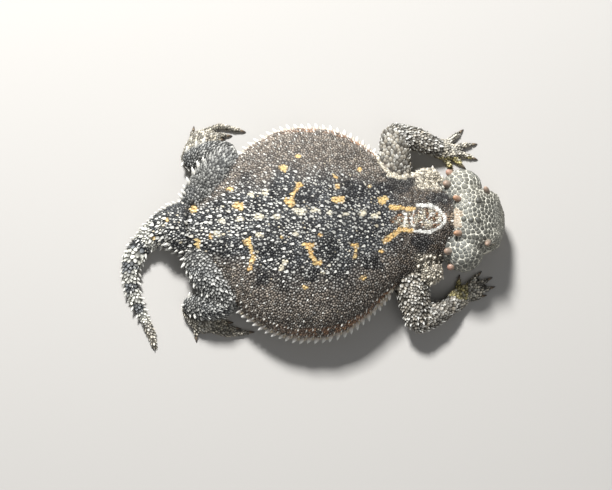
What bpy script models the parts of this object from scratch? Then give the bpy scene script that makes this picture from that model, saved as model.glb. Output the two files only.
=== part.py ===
"""A horned lizard at rest, life size: head, jaw, neck, trunk, tail, legs, eyes, horns and claws.

+X runs towards the snout, +Y towards the animal's left side and +Z up. The origin is on the flat of the
belly, under the widest part of the trunk. Lengths below are in millimetres, and each mesh is scaled to
metres as it is made.
"""

import math

import bmesh
import bpy
import numpy as np
from mathutils import Matrix, Vector

MM = 0.001
GAP = 0.3
WELD = 0.002
CORNER_ALLOWANCE = 1.15
FLOOR = 0.0

# Trunk and neck: each profile is a smooth curve through (x, value) stops.
TRUNK_REAR = -31.0
TRUNK_FRONT = 23.6
NECK_FRONT = 36.1
CENTRE_LINE = [(-31, 1.2), (-20, 0.2), (-10, 0), (16, 0), (26, 0.9), (36.1, 2.2)]
HALF_WIDTH = [(-31, 8.4), (-26, 11.2), (-22, 15.6), (-19, 19.2), (-12, 24.8), (0, 27.6), (10, 25.2),
              (15, 21.6), (20, 17.0), (23.6, 14.4), (29, 13.0), (33, 10.4), (36.1, 9.0)]
BACK_HEIGHT = [(-31, 9.4), (-24, 12.6), (-12, 16.6), (2, 18.0), (14, 16.6), (23.6, 14.6), (31, 14.4),
               (36.1, 13.4)]
EDGE_HEIGHT = [(-31, 4.6), (-20, 5.2), (0, 6.0), (15, 6.6), (24, 7.4), (36.1, 7.4)]
BELLY_HEIGHT = [(-31, 0.6), (-25, 0), (-20, 0), (16, 0), (22, 0.3), (28, 1.4), (36.1, 2.2)]
BELLY_FLAT_SHARE = 0.66
BELLY_CURVE = 1.3
BACK_CURVE = 1.15
SIDE_CURVE = 0.92
BACK_POINTS = 16
BELLY_POINTS = 8
TRUNK_RINGS = 16
NECK_RINGS = 5
NECK_LINE = 1.1
NECK_FOLD_CENTRE = (30.0, 11.8, 7.6)
NECK_FOLD_RADII = (4.0, 3.6, 3.4)

# Fringe of spines along both edges of the trunk.
FRINGE_START = -17.5
FRINGE_ENDS = {1: 16.8, -1: 20.2}
SPINE_PITCH = 1.8
EDGE_STEP = 0.5
SPINE_LENGTH = 1.45
SPINE_BASE = 0.95
SPINE_ROOT = 0.6
SPINE_THINNESS = 0.8
SPINE_SWEEP = 0.55
SPINE_RISE = 0.15

# Head: profiles along x from the back of the skull to the snout, for the half of a cross-section.
HEAD_LINE = 2.2
HEAD_REAR = 36.4
SNOUT_TIP = 49.7
JAW_TIP = 49.4
JAW_SHARE = 0.98
CHIN_SHARE = 0.6
CROWN_HEIGHT = [(36.4, 14.2), (40, 15.0), (44, 14.6), (46.8, 12.7), (48.8, 9.7), (49.7, 7.4)]
CROWN_SHARE = 0.55
CROWN_DROP = 0.1
BROW_WIDTH = [(36.4, 5.8), (40, 6.5), (44, 7.0), (46.8, 6.4), (48.8, 4.2), (49.7, 1.9)]
BROW_HEIGHT = [(36.4, 13.4), (40, 14.1), (44, 13.7), (46.8, 11.8), (48.8, 9.0), (49.7, 7.0)]
ORBIT_WIDTH = [(36.4, 8.6), (40, 9.4), (43, 6.6), (46.8, 5.9), (48.8, 4.2), (49.7, 2.0)]
ORBIT_HEIGHT = [(36.4, 11.2), (40, 11.0), (44, 10.2), (46.8, 9.2), (48.8, 7.5), (49.7, 6.4)]
CHEEK_WIDTH = [(36.4, 9.6), (40, 10.4), (44, 8.8), (46.8, 6.9), (48.8, 4.4), (49.7, 2.0)]
CHEEK_HEIGHT = [(36.4, 7.8), (40, 7.4), (44, 6.8), (46.8, 6.2), (48.8, 5.6), (49.7, 5.3)]
MOUTH_WIDTH = [(36.4, 8.4), (40, 9.4), (44, 8.4), (46.8, 6.6), (48.8, 3.9), (49.7, 1.6)]
MOUTH_HEIGHT = [(36.4, 6.0), (40, 5.5), (44, 4.9), (46.8, 4.4), (48.8, 4.0), (49.7, 3.9)]
JAW_WIDTH = [(36.4, 7.6), (40, 8.4), (44, 7.8), (46.8, 6.0), (48.6, 3.4), (49.4, 1.3)]
JAW_HEIGHT = [(36.4, 3.6), (40, 3.2), (44, 2.7), (46.8, 2.5), (48.6, 2.6), (49.4, 2.9)]
CHIN_HEIGHT = [(36.4, 1.9), (40, 1.4), (44, 1.1), (46.8, 1.2), (48.6, 1.8), (49.4, 2.6)]
HEAD_POINTS = 20
JAW_POINTS = 14
HEAD_RINGS = 9
RING_CROWDING = 1.35
LOBE_CENTRE = (38.8, 8.3, 9.6)
LOBE_RADII = (5.2, 5.3, 4.3)
LOBE_TILT = math.radians(20)
LUMP_SIDES = 12
LUMP_BANDS = 8

# Eyes, set under the brow.
EYE_CENTRE = (45.0, 4.9, 10.2)
EYE_RADIUS = 2.1

# Horns of the left side: place, the way each points, radius and length. The right side is its mirror image.
HORNS = {
    "occipital_horn": ((37.2, 4.35, 14.0), (-0.75, 0.15, 0.65), 0.85, 1.7),
    "inner_temporal_horn": ((34.9, 8.6, 12.2), (-0.85, 0.15, 0.5), 1.0, 1.5),
    "outer_temporal_horn": ((35.8, 12.0, 10.0), (-0.8, 0.5, 0.25), 0.95, 1.4),
    "brow_horn": ((44.4, 6.8, 13.6), (-0.35, 0.6, 0.72), 0.75, 1.1),
}
HORN_TAPER = [(0.0, 1.0), (0.5, 0.84), (0.85, 0.5), (1.0, 0.12)]
HORN_SIDES = 8
HORN_DEPTH = 1.2

# Tail: points on its centre line, each with its half width.
TAIL_PATH = [
    (-31.3, 1.2, 4.5, 8.0), (-34.6, 1.2, 4.5, 6.6), (-38.2, 0.7, 3.3, 5.0), (-41.4, -1.2, 2.5, 3.9),
    (-44.1, -4.0, 2.1, 3.3), (-45.7, -7.4, 1.85, 2.9), (-46.1, -11.0, 1.65, 2.6), (-45.4, -14.9, 1.4, 2.2),
    (-43.9, -18.6, 1.15, 1.8), (-42.0, -22.2, 0.9, 1.45), (-40.4, -25.8, 0.7, 1.1), (-39.6, -29.4, 0.3, 0.5),
]
TAIL_CUTS = (0.0, 14.0, 28.0)
TAIL_FLATNESS = 0.74
TAIL_SIDES = 12
TAIL_STEP = 1.9
TAIL_LEAST_STEPS = 4
TANGENT_STEP = 0.1

# Legs: the start, middle and end of each length, with its half width at each of them.
LEGS = {
    "upper_arm_left": ([(21.4, 12.5, 7.2), (21.8, 19.5, 6.4), (21.5, 25.4, 4.8)], (4.4, 4.2, 3.3)),
    "forearm_left": ([(22.0, 25.8, 4.6), (27.4, 24.9, 3.8), (32.8, 23.2, 2.6)], (3.4, 3.3, 2.5)),
    "hand_left": ([(32.6, 23.2, 1.6), (34.8, 22.8, 1.5), (36.6, 22.2, 1.2)], (2.3, 2.7, 2.2)),
    "upper_arm_right": ([(25.2, -11.5, 6.8), (26.4, -17.6, 5.8), (27.2, -22.6, 4.6)], (4.4, 4.2, 3.4)),
    "forearm_right": ([(27.4, -22.9, 4.3), (31.6, -21.2, 3.6), (36.2, -18.5, 2.6)], (3.4, 3.2, 2.3)),
    "hand_right": ([(36.2, -18.3, 1.6), (38.0, -16.6, 1.5), (39.6, -15.0, 1.2)], (2.3, 2.7, 2.2)),
    "thigh_left": ([(-28.6, 8.4, 6.6), (-25.2, 13.6, 6.8), (-21.4, 19.0, 6.0)], (4.6, 5.0, 4.0)),
    "shank_left": ([(-21.8, 20.4, 5.0), (-26.4, 20.4, 4.4), (-31.0, 19.6, 3.0)], (3.8, 3.9, 2.6)),
    "foot_left": ([(-31.2, 20.2, 1.6), (-30.0, 23.6, 1.4), (-28.4, 26.2, 1.2)], (2.4, 2.5, 2.3)),
    "thigh_right": ([(-28.2, -7.6, 6.6), (-24.8, -12.2, 6.8), (-21.0, -17.0, 6.0)], (4.6, 5.0, 4.0)),
    "shank_right": ([(-21.8, -18.6, 5.0), (-26.2, -19.0, 4.4), (-30.4, -18.6, 3.0)], (3.8, 3.9, 2.6)),
    "foot_right": ([(-30.4, -19.2, 1.6), (-28.8, -21.8, 1.4), (-26.6, -23.6, 1.2)], (2.4, 2.5, 2.3)),
}
LEG_FLATNESS = 0.86
PALM_FLATNESS = 0.62
LEG_SIDES = 10
LEG_RINGS = 5
LEG_TUCKS = (70, 35)
END_ROUNDNESS = 0.8

# Digits, from the inner side: the knuckle, middle joint and tip of each.
DIGITS = {
    "hand_left": [
        [(34.6, 21.6), (35.6, 19.9), (36.6, 18.3)], [(36.2, 21.8), (37.8, 20.4), (39.2, 19.2)],
        [(36.8, 22.4), (39.6, 21.8), (42.0, 21.0)], [(36.4, 23.4), (39.4, 24.0), (41.9, 24.4)],
        [(35.2, 24.4), (37.2, 26.0), (38.8, 27.4)]],
    "hand_right": [
        [(37.8, -15.4), (37.9, -13.6), (38.2, -11.9)], [(39.4, -14.6), (41.2, -12.4), (42.9, -10.6)],
        [(40.0, -14.8), (42.9, -13.0), (45.3, -11.7)], [(40.0, -15.6), (43.2, -14.6), (45.8, -13.8)],
        [(39.2, -16.6), (41.6, -16.4), (43.6, -15.9)]],
    "foot_left": [
        [(-28.9, 24.0), (-27.4, 24.3), (-26.0, 24.3)], [(-28.0, 25.0), (-25.9, 25.7), (-24.0, 25.8)],
        [(-27.7, 26.2), (-24.8, 26.9), (-22.2, 26.9)], [(-28.4, 27.4), (-23.9, 29.4), (-18.6, 28.3)],
        [(-30.2, 24.8), (-30.8, 26.3), (-30.6, 27.7)]],
    "foot_right": [
        [(-27.2, -21.4), (-25.4, -21.1), (-23.8, -20.8)], [(-26.0, -22.4), (-23.6, -22.6), (-21.4, -22.6)],
        [(-25.6, -23.2), (-22.4, -23.9), (-19.4, -24.1)], [(-26.2, -24.2), (-21.0, -25.6), (-16.0, -25.2)],
        [(-28.6, -22.8), (-29.2, -24.4), (-29.1, -25.8)]],
}
DIGIT_WIDTH = 0.95
DIGIT_HEIGHTS = (0.85, 0.68, 0.5)
DIGIT_TAPER = (1.0, 0.86, 0.66)
DIGIT_SIDES = 6
DIGIT_RINGS = 3
DIGIT_TUCKS = (55,)
CLAW_LENGTH = 1.25
CLAW_RADIUS = 0.42
CLAW_SIDES = 5
CLAW_THINNESS = 0.8
CLAW_TAPER = ((0.0, 1.0), (0.5, 0.7), (1.0, 0.1))
CLAW_HOOK = 0.1
CLAW_DROOP = math.radians(5)

# Edges sharper than this are shaded as creases.
SHARP_ANGLE = math.radians(40)

# Colour, roughness and metallic value of each kind of piece.
FINISHES = {
    "skin": ((0.16, 0.145, 0.13), 0.75, 0.0),
    "head": ((0.23, 0.24, 0.20), 0.7, 0.0),
    "horn": ((0.42, 0.24, 0.17), 0.5, 0.0),
    "claw": ((0.10, 0.08, 0.07), 0.35, 0.0),
    "eye": ((0.02, 0.018, 0.015), 0.08, 0.0),
}


def curve(stops, at):
    """Value at one place of the smooth curve through (place, value) stops of numbers or tuples."""
    places = np.array([stop[0] for stop in stops], float)
    values = np.array([stop[1] for stop in stops], float)
    slopes = np.gradient(values, places, axis=0)
    at = min(max(at, places[0]), places[-1])
    first = min(max(int(np.searchsorted(places, at)) - 1, 0), len(places) - 2)
    span = places[first + 1] - places[first]
    t = (at - places[first]) / span
    ends = (2 * t**3 - 3 * t**2 + 1) * values[first] + (3 * t**2 - 2 * t**3) * values[first + 1]
    bends = (t**3 - 2 * t**2 + t) * slopes[first] + (t**3 - t**2) * slopes[first + 1]
    return ends + span * bends


def path_stops(points):
    """(length along the path, point) stops for a list of points of any dimension."""
    points = np.array(points, float)
    steps = np.linalg.norm(np.diff(points[:, :3], axis=0), axis=1)
    return list(zip(np.concatenate([[0.0], np.cumsum(steps)]), points))


def closed_ring(corners, count):
    """A ring of `count` points, evenly spaced along the smooth closed curve through the corners."""
    corners = np.array(corners, float)
    around = np.concatenate([corners[-2:], corners, corners[:3]])
    steps = np.linalg.norm(np.diff(around, axis=0), axis=1)
    places = np.cumsum(np.concatenate([[0.0], steps]))
    stops = list(zip(places, around))
    start = places[2]
    length = places[len(corners) + 2] - start
    return [curve(stops, start + length * k / count) for k in range(count)]


def grown_ring(ring, grow):
    """The ring moved out by `grow`, in its own plane, away from its middle."""
    ring = np.array(ring, float)
    outward = ring - ring.mean(axis=0)
    outward /= np.linalg.norm(outward, axis=1, keepdims=True)
    return ring + outward * grow * CORNER_ALLOWANCE


def lofted(rings):
    """Points and faces of the solid through rings of equal count, closed by a flat face at each end."""
    count = len(rings[0])
    points = [tuple(point) for ring in rings for point in ring]
    faces = []
    for k in range(len(rings) - 1):
        for j in range(count):
            after = (j + 1) % count
            faces.append((k * count + j, k * count + after, (k + 1) * count + after, (k + 1) * count + j))
    faces.append(tuple(reversed(range(count))))
    faces.append(tuple((len(rings) - 1) * count + j for j in range(count)))
    return points, faces


def mesh_object(name, points, faces):
    """An object in metres from points in millimetres, with its faces facing out."""
    mesh = bpy.data.meshes.new(name)
    mesh.from_pydata([Vector(point) * MM for point in points], [], faces)
    work = bmesh.new()
    work.from_mesh(mesh)
    bmesh.ops.recalc_face_normals(work, faces=work.faces)
    work.to_mesh(mesh)
    work.free()
    made = bpy.data.objects.new(name, mesh)
    bpy.context.scene.collection.objects.link(made)
    return made


def combined(base, others, operation):
    """The base after a Boolean with each of the others, which are used up."""
    for other in others:
        step = base.modifiers.new("join", "BOOLEAN")
        step.operation = operation
        step.solver = "EXACT"
        step.object = other
        bpy.context.view_layer.update()
        graph = bpy.context.evaluated_depsgraph_get()
        result = bpy.data.meshes.new_from_object(base.evaluated_get(graph))
        base.modifiers.clear()
        base.data = result
        bpy.data.objects.remove(other, do_unlink=True)
    return base


def body_ring(x, grow=0.0):
    """Cross-section of the neck and trunk at x: a domed back, a thin edge and a flat belly."""
    middle = curve(CENTRE_LINE, x)
    width = curve(HALF_WIDTH, x) + grow
    back = curve(BACK_HEIGHT, x) + grow
    edge = curve(EDGE_HEIGHT, x)
    belly = max(curve(BELLY_HEIGHT, x), FLOOR) - grow
    ring = []
    for k in range(BACK_POINTS + 1):
        turn = math.pi * k / BACK_POINTS
        side = math.copysign(abs(math.cos(turn)) ** SIDE_CURVE, math.cos(turn))
        ring.append((x, middle + width * side, edge + (back - edge) * math.sin(turn) ** BACK_CURVE))
    for k in range(1, BELLY_POINTS):
        across = -math.cos(math.pi * k / BELLY_POINTS)
        share = min(1.0, max(0.0, (abs(across) - BELLY_FLAT_SHARE) / (1 - BELLY_FLAT_SHARE)))
        ring.append((x, middle + width * across, belly + (edge - belly) * share**BELLY_CURVE))
    return ring


def body_length(name, start, end, count, grow=0.0):
    """A solid of the neck or trunk between two places."""
    rings = [body_ring(start + (end - start) * k / (count - 1), grow) for k in range(count)]
    return mesh_object(name, *lofted(rings))


def ellipsoid(name, centre, radii, tilt=0.0, grow=0.0):
    """A round lump, turned about the x axis."""
    work = bmesh.new()
    bmesh.ops.create_uvsphere(work, u_segments=LUMP_SIDES, v_segments=LUMP_BANDS, radius=1.0)
    sizes = Matrix.Diagonal([radius + grow for radius in radii] + [1.0])
    place = Matrix.Translation(centre) @ Matrix.Rotation(tilt, 4, "X") @ sizes
    points = [place @ vertex.co for vertex in work.verts]
    faces = [tuple(vertex.index for vertex in face.verts) for face in work.faces]
    work.free()
    return mesh_object(name, points, faces)


def body_edge(x, side):
    """Point on the left (1) or right (-1) edge of the trunk at x."""
    return np.array([x, curve(CENTRE_LINE, x) + side * curve(HALF_WIDTH, x), curve(EDGE_HEIGHT, x)])


def fringe_spines():
    """The spines of both edges of the trunk, each a four-sided spike that starts inside the edge."""
    spines = []
    for side, last in FRINGE_ENDS.items():
        x = FRINGE_START
        while x < last:
            here, ahead = body_edge(x, side), body_edge(x + EDGE_STEP, side)
            along = (ahead - here) / np.linalg.norm(ahead - here)
            outward = np.cross(along, (0, 0, 1)) * -side
            outward /= np.linalg.norm(outward)
            root = here - outward * SPINE_ROOT
            tip = here + outward * SPINE_LENGTH - along * SPINE_SWEEP + np.array([0, 0, SPINE_RISE])
            half = SPINE_BASE / 2
            low = np.array([0, 0, half * SPINE_THINNESS])
            corners = [root - along * half, root + low, root + along * half, root - low]
            faces = [(0, 1, 2, 3), (0, 4, 1), (1, 4, 2), (2, 4, 3), (3, 4, 0)]
            spines.append(mesh_object("spine", [*corners, tip], faces))
            x += SPINE_PITCH * along[0]
    return spines


def head_ring(x, grow=0.0):
    """Cross-section of the skull at x, down to the line of the mouth."""
    half = [
        (curve(BROW_WIDTH, x) * CROWN_SHARE, curve(CROWN_HEIGHT, x) - CROWN_DROP),
        (curve(BROW_WIDTH, x), curve(BROW_HEIGHT, x)),
        (curve(ORBIT_WIDTH, x), curve(ORBIT_HEIGHT, x)),
        (curve(CHEEK_WIDTH, x), curve(CHEEK_HEIGHT, x)),
        (curve(MOUTH_WIDTH, x), curve(MOUTH_HEIGHT, x)),
    ]
    corners = [(x, 0, curve(CROWN_HEIGHT, x))]
    corners += [(x, y, z) for y, z in half]
    corners.append((x, 0, curve(MOUTH_HEIGHT, x)))
    corners += [(x, -y, z) for y, z in reversed(half)]
    ring = grown_ring(closed_ring(corners, HEAD_POINTS), grow)
    return [(px, py + HEAD_LINE, pz) for px, py, pz in ring]


def jaw_ring(x):
    """Cross-section of the lower jaw at x, under the mouth."""
    top = curve(MOUTH_HEIGHT, x) - GAP * 2
    half = [(curve(MOUTH_WIDTH, x) * JAW_SHARE, top), (curve(JAW_WIDTH, x), curve(JAW_HEIGHT, x)),
            (curve(JAW_WIDTH, x) * CHIN_SHARE, curve(CHIN_HEIGHT, x))]
    corners = [(x, 0, top)]
    corners += [(x, y, z) for y, z in half]
    corners.append((x, 0, curve(CHIN_HEIGHT, x)))
    corners += [(x, -y, z) for y, z in reversed(half)]
    return [(px, py + HEAD_LINE, pz) for px, py, pz in closed_ring(corners, JAW_POINTS)]


def mirrored(place, side):
    """A place given for the left of the head, put on the side asked for."""
    return (place[0], HEAD_LINE + side * place[1], place[2])


def head_places(start, end):
    """Places of the head's cross-sections, closer together towards the snout."""
    shares = [1 - (1 - k / (HEAD_RINGS - 1)) ** RING_CROWDING for k in range(HEAD_RINGS)]
    return [start + (end - start) * share for share in shares]


def skull(grow=0.0):
    """The skull without its lobes."""
    rings = [head_ring(x, grow) for x in head_places(HEAD_REAR - grow, SNOUT_TIP + grow)]
    return mesh_object("head", *lofted(rings))


def lobes(grow=0.0):
    """The two temporal lobes at the back of the skull."""
    return [ellipsoid("lobe", mirrored(LOBE_CENTRE, side), LOBE_RADII, -side * LOBE_TILT, grow)
            for side in (1, -1)]


def eye_ball(name, side, grow=0.0):
    """An eye."""
    radius = EYE_RADIUS + grow
    return ellipsoid(name, mirrored(EYE_CENTRE, side), (radius, radius, radius))


def build_head():
    """Skull with its lobes and eye sockets."""
    head = combined(skull(), lobes(), "UNION")
    return combined(head, [eye_ball("socket", side, GAP) for side in (1, -1)], "DIFFERENCE")


def build_jaw():
    """Lower jaw, cleared of the skull."""
    jaw = mesh_object("lower_jaw", *lofted([jaw_ring(x) for x in head_places(HEAD_REAR, JAW_TIP)]))
    return combined(jaw, [skull(GAP), *lobes(GAP)], "DIFFERENCE")


def neck_folds(grow=0.0):
    """The fold of loose skin on each side of the neck."""
    x, y, z = NECK_FOLD_CENTRE
    return [ellipsoid("fold", (x, side * y + NECK_LINE, z), NECK_FOLD_RADII, grow=grow)
            for side in (1, -1)]


def build_neck():
    """Neck with its folds, cleared of the lobes of the skull."""
    neck = body_length("neck", TRUNK_FRONT + GAP, NECK_FRONT, NECK_RINGS)
    neck = combined(neck, neck_folds(), "UNION")
    return combined(neck, lobes(GAP), "DIFFERENCE")


def thigh_cutters():
    """Both thighs, grown by the gap."""
    return [leg_length(f"thigh_{side}", GAP) for side in ("left", "right")]


def build_trunk():
    """Trunk with its fringe, and a hollow in each flank where the thigh lies."""
    trunk = body_length("trunk", TRUNK_REAR, TRUNK_FRONT, TRUNK_RINGS)
    trunk = combined(trunk, fringe_spines(), "UNION")
    return combined(trunk, thigh_cutters(), "DIFFERENCE")


def tube_ring(middle, along, width, height, sides):
    """A ring across a path, made flat where it would pass through the floor."""
    along = Vector(along).normalized()
    across = Vector((0, 0, 1)).cross(along).normalized()
    up = along.cross(across)
    ring = []
    for k in range(sides):
        turn = 2 * math.pi * k / sides
        point = Vector(middle) + across * width * math.cos(turn) + up * height * math.sin(turn)
        point.z = max(point.z, FLOOR)
        ring.append(tuple(point))
    return ring


def rounded_tube(name, path, radii, sides, rings, tucks, flatness=1.0, grow=0.0):
    """A solid along a smooth path, with ends rounded by rings at these angles from the last full one."""
    stops = path_stops([(*point, radius) for point, radius in zip(path, radii)])
    length = stops[-1][0]
    made = []
    start = [(0.0, tuck) for tuck in tucks]
    middle_part = [(length * k / (rings - 1), 0) for k in range(rings)]
    end = [(length, -tuck) for tuck in reversed(tucks)]
    for at, tuck in start + middle_part + end:
        x, y, z, radius = curve(stops, at)
        along = Vector(curve(stops, at + TANGENT_STEP)[:3] - curve(stops, at - TANGENT_STEP)[:3])
        along.normalize()
        radius += grow
        shift = -math.sin(math.radians(tuck)) * radius * END_ROUNDNESS
        width = radius * math.cos(math.radians(tuck))
        middle = Vector((x, y, z)) + along * shift
        made.append(tube_ring(middle, along, width, width * flatness, sides))
    return mesh_object(name, *lofted(made))


def leg_length(name, grow=0.0):
    """One length of a leg, without its digits."""
    path, radii = LEGS[name]
    flatness = PALM_FLATNESS if name.startswith(("hand", "foot")) else LEG_FLATNESS
    return rounded_tube(name, path, radii, LEG_SIDES, LEG_RINGS, LEG_TUCKS, flatness, grow)


def digit_path(points):
    """The three points of a digit with their heights."""
    return [(x, y, z) for (x, y), z in zip(points, DIGIT_HEIGHTS)]


def digits_of(name):
    """The digits of a hand or foot as separate tubes."""
    radii = [DIGIT_WIDTH * share for share in DIGIT_TAPER]
    return [rounded_tube("digit", digit_path(points), radii, DIGIT_SIDES, DIGIT_RINGS, DIGIT_TUCKS)
            for points in DIGITS[name]]


def body_cutter():
    """The trunk and neck in one, grown by the gap."""
    return body_length("cutter", TRUNK_REAR, NECK_FRONT, TRUNK_RINGS + NECK_RINGS, GAP)


def build_leg(names, side, first_cutters, second_cutters):
    """The three lengths of a leg: the first is cleared of the body, and the others of the length before."""
    first, second, last = [f"{name}_{side}" for name in names]
    upper = combined(leg_length(first), first_cutters, "DIFFERENCE")
    lower = combined(leg_length(second), [leg_length(first, GAP), *second_cutters], "DIFFERENCE")
    end = combined(leg_length(last), digits_of(last), "UNION")
    return [upper, lower, combined(end, [leg_length(second, GAP)], "DIFFERENCE")]


def build_tail():
    """The lengths of the tail, with flat cuts between them."""
    stops = path_stops(TAIL_PATH)
    total = stops[-1][0]
    ends = [*TAIL_CUTS, total]
    made = []
    for name, start, end in zip(("tail_base", "tail_mid", "tail_tip"), ends, ends[1:]):
        start += GAP if start > 0 else 0
        count = max(TAIL_LEAST_STEPS, round((end - start) / TAIL_STEP))
        rings = []
        for k in range(count + 1):
            at = start + (end - start) * k / count
            x, y, z, radius = curve(stops, at)
            along = curve(stops, at + TANGENT_STEP)[:3] - curve(stops, at - TANGENT_STEP)[:3]
            rings.append(tube_ring((x, y, z), along, radius, radius * TAIL_FLATNESS, TAIL_SIDES))
        made.append(mesh_object(name, *lofted(rings)))
    made[0] = combined(made[0], thigh_cutters(), "DIFFERENCE")
    return made


def horn_ring(radius, height):
    """A circle across the axis of a horn."""
    turns = [2 * math.pi * k / HORN_SIDES for k in range(HORN_SIDES)]
    return [(radius * math.cos(turn), radius * math.sin(turn), height) for turn in turns]


def build_horn(name, shape, side):
    """A blunt horn on its own axis, cleared of the head and neck that it stands on."""
    place, aim, radius, length = shape
    rings = [horn_ring(radius, -HORN_DEPTH)]
    rings += [horn_ring(radius * size, length * share) for share, size in HORN_TAPER]
    horn = mesh_object(name, *lofted(rings))
    horn.location = Vector(mirrored(place, side)) * MM
    horn.rotation_euler = Vector((aim[0], side * aim[1], aim[2])).to_track_quat("Z", "Y").to_euler()
    bpy.context.view_layer.update()
    return combined(horn, [skull(GAP), *lobes(GAP), body_cutter(), *neck_folds(GAP)], "DIFFERENCE")


def claw_ring(share, size):
    """Cross-section of a claw at a share of its length."""
    ring = []
    for k in range(CLAW_SIDES):
        turn = 2 * math.pi * k / CLAW_SIDES
        across = CLAW_RADIUS * size * CLAW_THINNESS * math.cos(turn)
        up = CLAW_RADIUS * size * math.sin(turn) - CLAW_HOOK * CLAW_LENGTH * share**2
        ring.append((share * CLAW_LENGTH, across, up))
    return ring


def build_claws():
    """A claw beyond the end of each digit, laid along its digit and tipped down."""
    claw = mesh_object("claw", *lofted([claw_ring(share, size) for share, size in CLAW_TAPER]))
    made = []
    for limb, digits in DIGITS.items():
        for number, points in enumerate(digits, start=1):
            *_, joint, tip = [Vector(point) for point in digit_path(points)]
            heading = math.atan2(tip.y - joint.y, tip.x - joint.x)
            reach = DIGIT_WIDTH * DIGIT_TAPER[-1] * END_ROUNDNESS + GAP
            ahead = (tip - joint).normalized() * reach
            copy = bpy.data.objects.new(f"claw_{limb}_{number}", claw.data.copy())
            copy.location = (tip + ahead) * MM
            copy.rotation_euler = (0, CLAW_DROOP, heading)
            bpy.context.scene.collection.objects.link(copy)
            made.append(copy)
    bpy.data.objects.remove(claw, do_unlink=True)
    return made


def keep_largest_body(made):
    """Drops the crumbs that a Boolean leaves beside the main body."""
    work = bmesh.new()
    work.from_mesh(made.data)
    bmesh.ops.remove_doubles(work, verts=work.verts, dist=WELD * MM)
    left = set(work.verts)
    bodies = []
    while left:
        body = {left.pop()}
        newest = set(body)
        while newest:
            newest = {edge.other_vert(vertex) for vertex in newest for edge in vertex.link_edges} - body
            body |= newest
        left -= body
        bodies.append(body)
    bodies.sort(key=len)
    crumbs = [vertex for body in bodies[:-1] for vertex in body]
    bmesh.ops.delete(work, geom=crumbs, context="VERTS")
    work.to_mesh(made.data)
    work.free()


def finish(made, kind):
    """Gives the object its own material and smooth shading."""
    keep_largest_body(made)
    colour, roughness, metallic = FINISHES[kind]
    material = bpy.data.materials.new(made.name)
    material.use_nodes = True
    surface = material.node_tree.nodes["Principled BSDF"]
    surface.inputs["Base Color"].default_value = (*colour, 1.0)
    surface.inputs["Roughness"].default_value = roughness
    surface.inputs["Metallic"].default_value = metallic
    made.data.materials.clear()
    made.data.materials.append(material)
    made.data.shade_smooth()
    made.data.set_sharp_from_angle(angle=SHARP_ANGLE)


def main():
    for old in list(bpy.data.objects):
        bpy.data.objects.remove(old, do_unlink=True)
    flesh = [build_jaw(), build_neck(), build_trunk(), *build_tail()]
    for side in ("left", "right"):
        flesh += build_leg(("upper_arm", "forearm", "hand"), side, [body_cutter(), *neck_folds(GAP)], [])
        flesh += build_leg(("thigh", "shank", "foot"), side, [], [body_cutter()])
    head = build_head()
    finish(head, "head")
    for piece in flesh:
        finish(piece, "skin")
    pieces = [head, *flesh]
    for word, side in (("left", 1), ("right", -1)):
        eye = eye_ball(f"eye_{word}", side)
        finish(eye, "eye")
        pieces.append(eye)
        for kind, shape in HORNS.items():
            horn = build_horn(f"{kind}_{word}", shape, side)
            finish(horn, "horn")
            pieces.append(horn)
    for claw in build_claws():
        finish(claw, "claw")
        pieces.append(claw)
    lizard = bpy.data.objects.new("lizard", None)
    bpy.context.scene.collection.objects.link(lizard)
    for piece in pieces:
        piece.parent = lizard


main()
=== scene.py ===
import math

import bmesh
import bpy
import numpy as np
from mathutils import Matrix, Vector
from mathutils.bvhtree import BVHTree
from mathutils.kdtree import KDTree


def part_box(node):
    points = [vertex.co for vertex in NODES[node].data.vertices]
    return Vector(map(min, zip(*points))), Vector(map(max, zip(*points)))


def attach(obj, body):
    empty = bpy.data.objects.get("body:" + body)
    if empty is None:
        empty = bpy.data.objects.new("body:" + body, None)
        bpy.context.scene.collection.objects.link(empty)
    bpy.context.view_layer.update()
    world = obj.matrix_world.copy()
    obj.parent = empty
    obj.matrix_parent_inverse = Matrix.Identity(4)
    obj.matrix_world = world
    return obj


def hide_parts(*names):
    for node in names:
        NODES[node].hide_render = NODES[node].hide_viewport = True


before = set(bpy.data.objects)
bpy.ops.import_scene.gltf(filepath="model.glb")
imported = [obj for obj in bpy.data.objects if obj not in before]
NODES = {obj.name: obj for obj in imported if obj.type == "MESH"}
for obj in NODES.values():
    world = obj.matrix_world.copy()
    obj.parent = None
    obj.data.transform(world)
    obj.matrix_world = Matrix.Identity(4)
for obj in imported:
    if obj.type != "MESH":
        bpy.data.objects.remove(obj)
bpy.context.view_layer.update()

# The looks of the horned lizard: one skin under joined meshes of scales,
# plates and spines, with separate eyes, horns and claws. Lengths are in
# millimetres, in the frame's axes: +X to the snout, +Y to the left, +Z up.
MM = 0.001
SEED = 11
BODY = "root"
SIDES = {"left": 1, "right": -1}
LIMBS = (("upper_arm", "forearm", "hand"), ("thigh", "shank", "foot"))
LIMB_PARTS = LIMBS[0] + LIMBS[1]
BODY_PARTS = ("trunk", "neck", "tail_base")
HEAD_PARTS = ("head", "lower_jaw")
ENDS = ("hand", "foot")
SMALL = (*ENDS, "tail_tip")
DIGITS = 5

# Camera: where it looks, how far and how steeply, on a 36 mm sensor in the photograph's frame.
PHOTO_SIZE = (612, 490)
TARGET = np.array([-1.0, -2.25, 0.0])
DISTANCE = 450.0
ELEVATION = math.radians(78)
LENS = 102.5
SENSOR = 36.0
CAMERA_PLACE = TARGET + DISTANCE * np.array([0, -math.cos(ELEVATION), math.sin(ELEVATION)])
CLIP_START = 0.01

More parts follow.
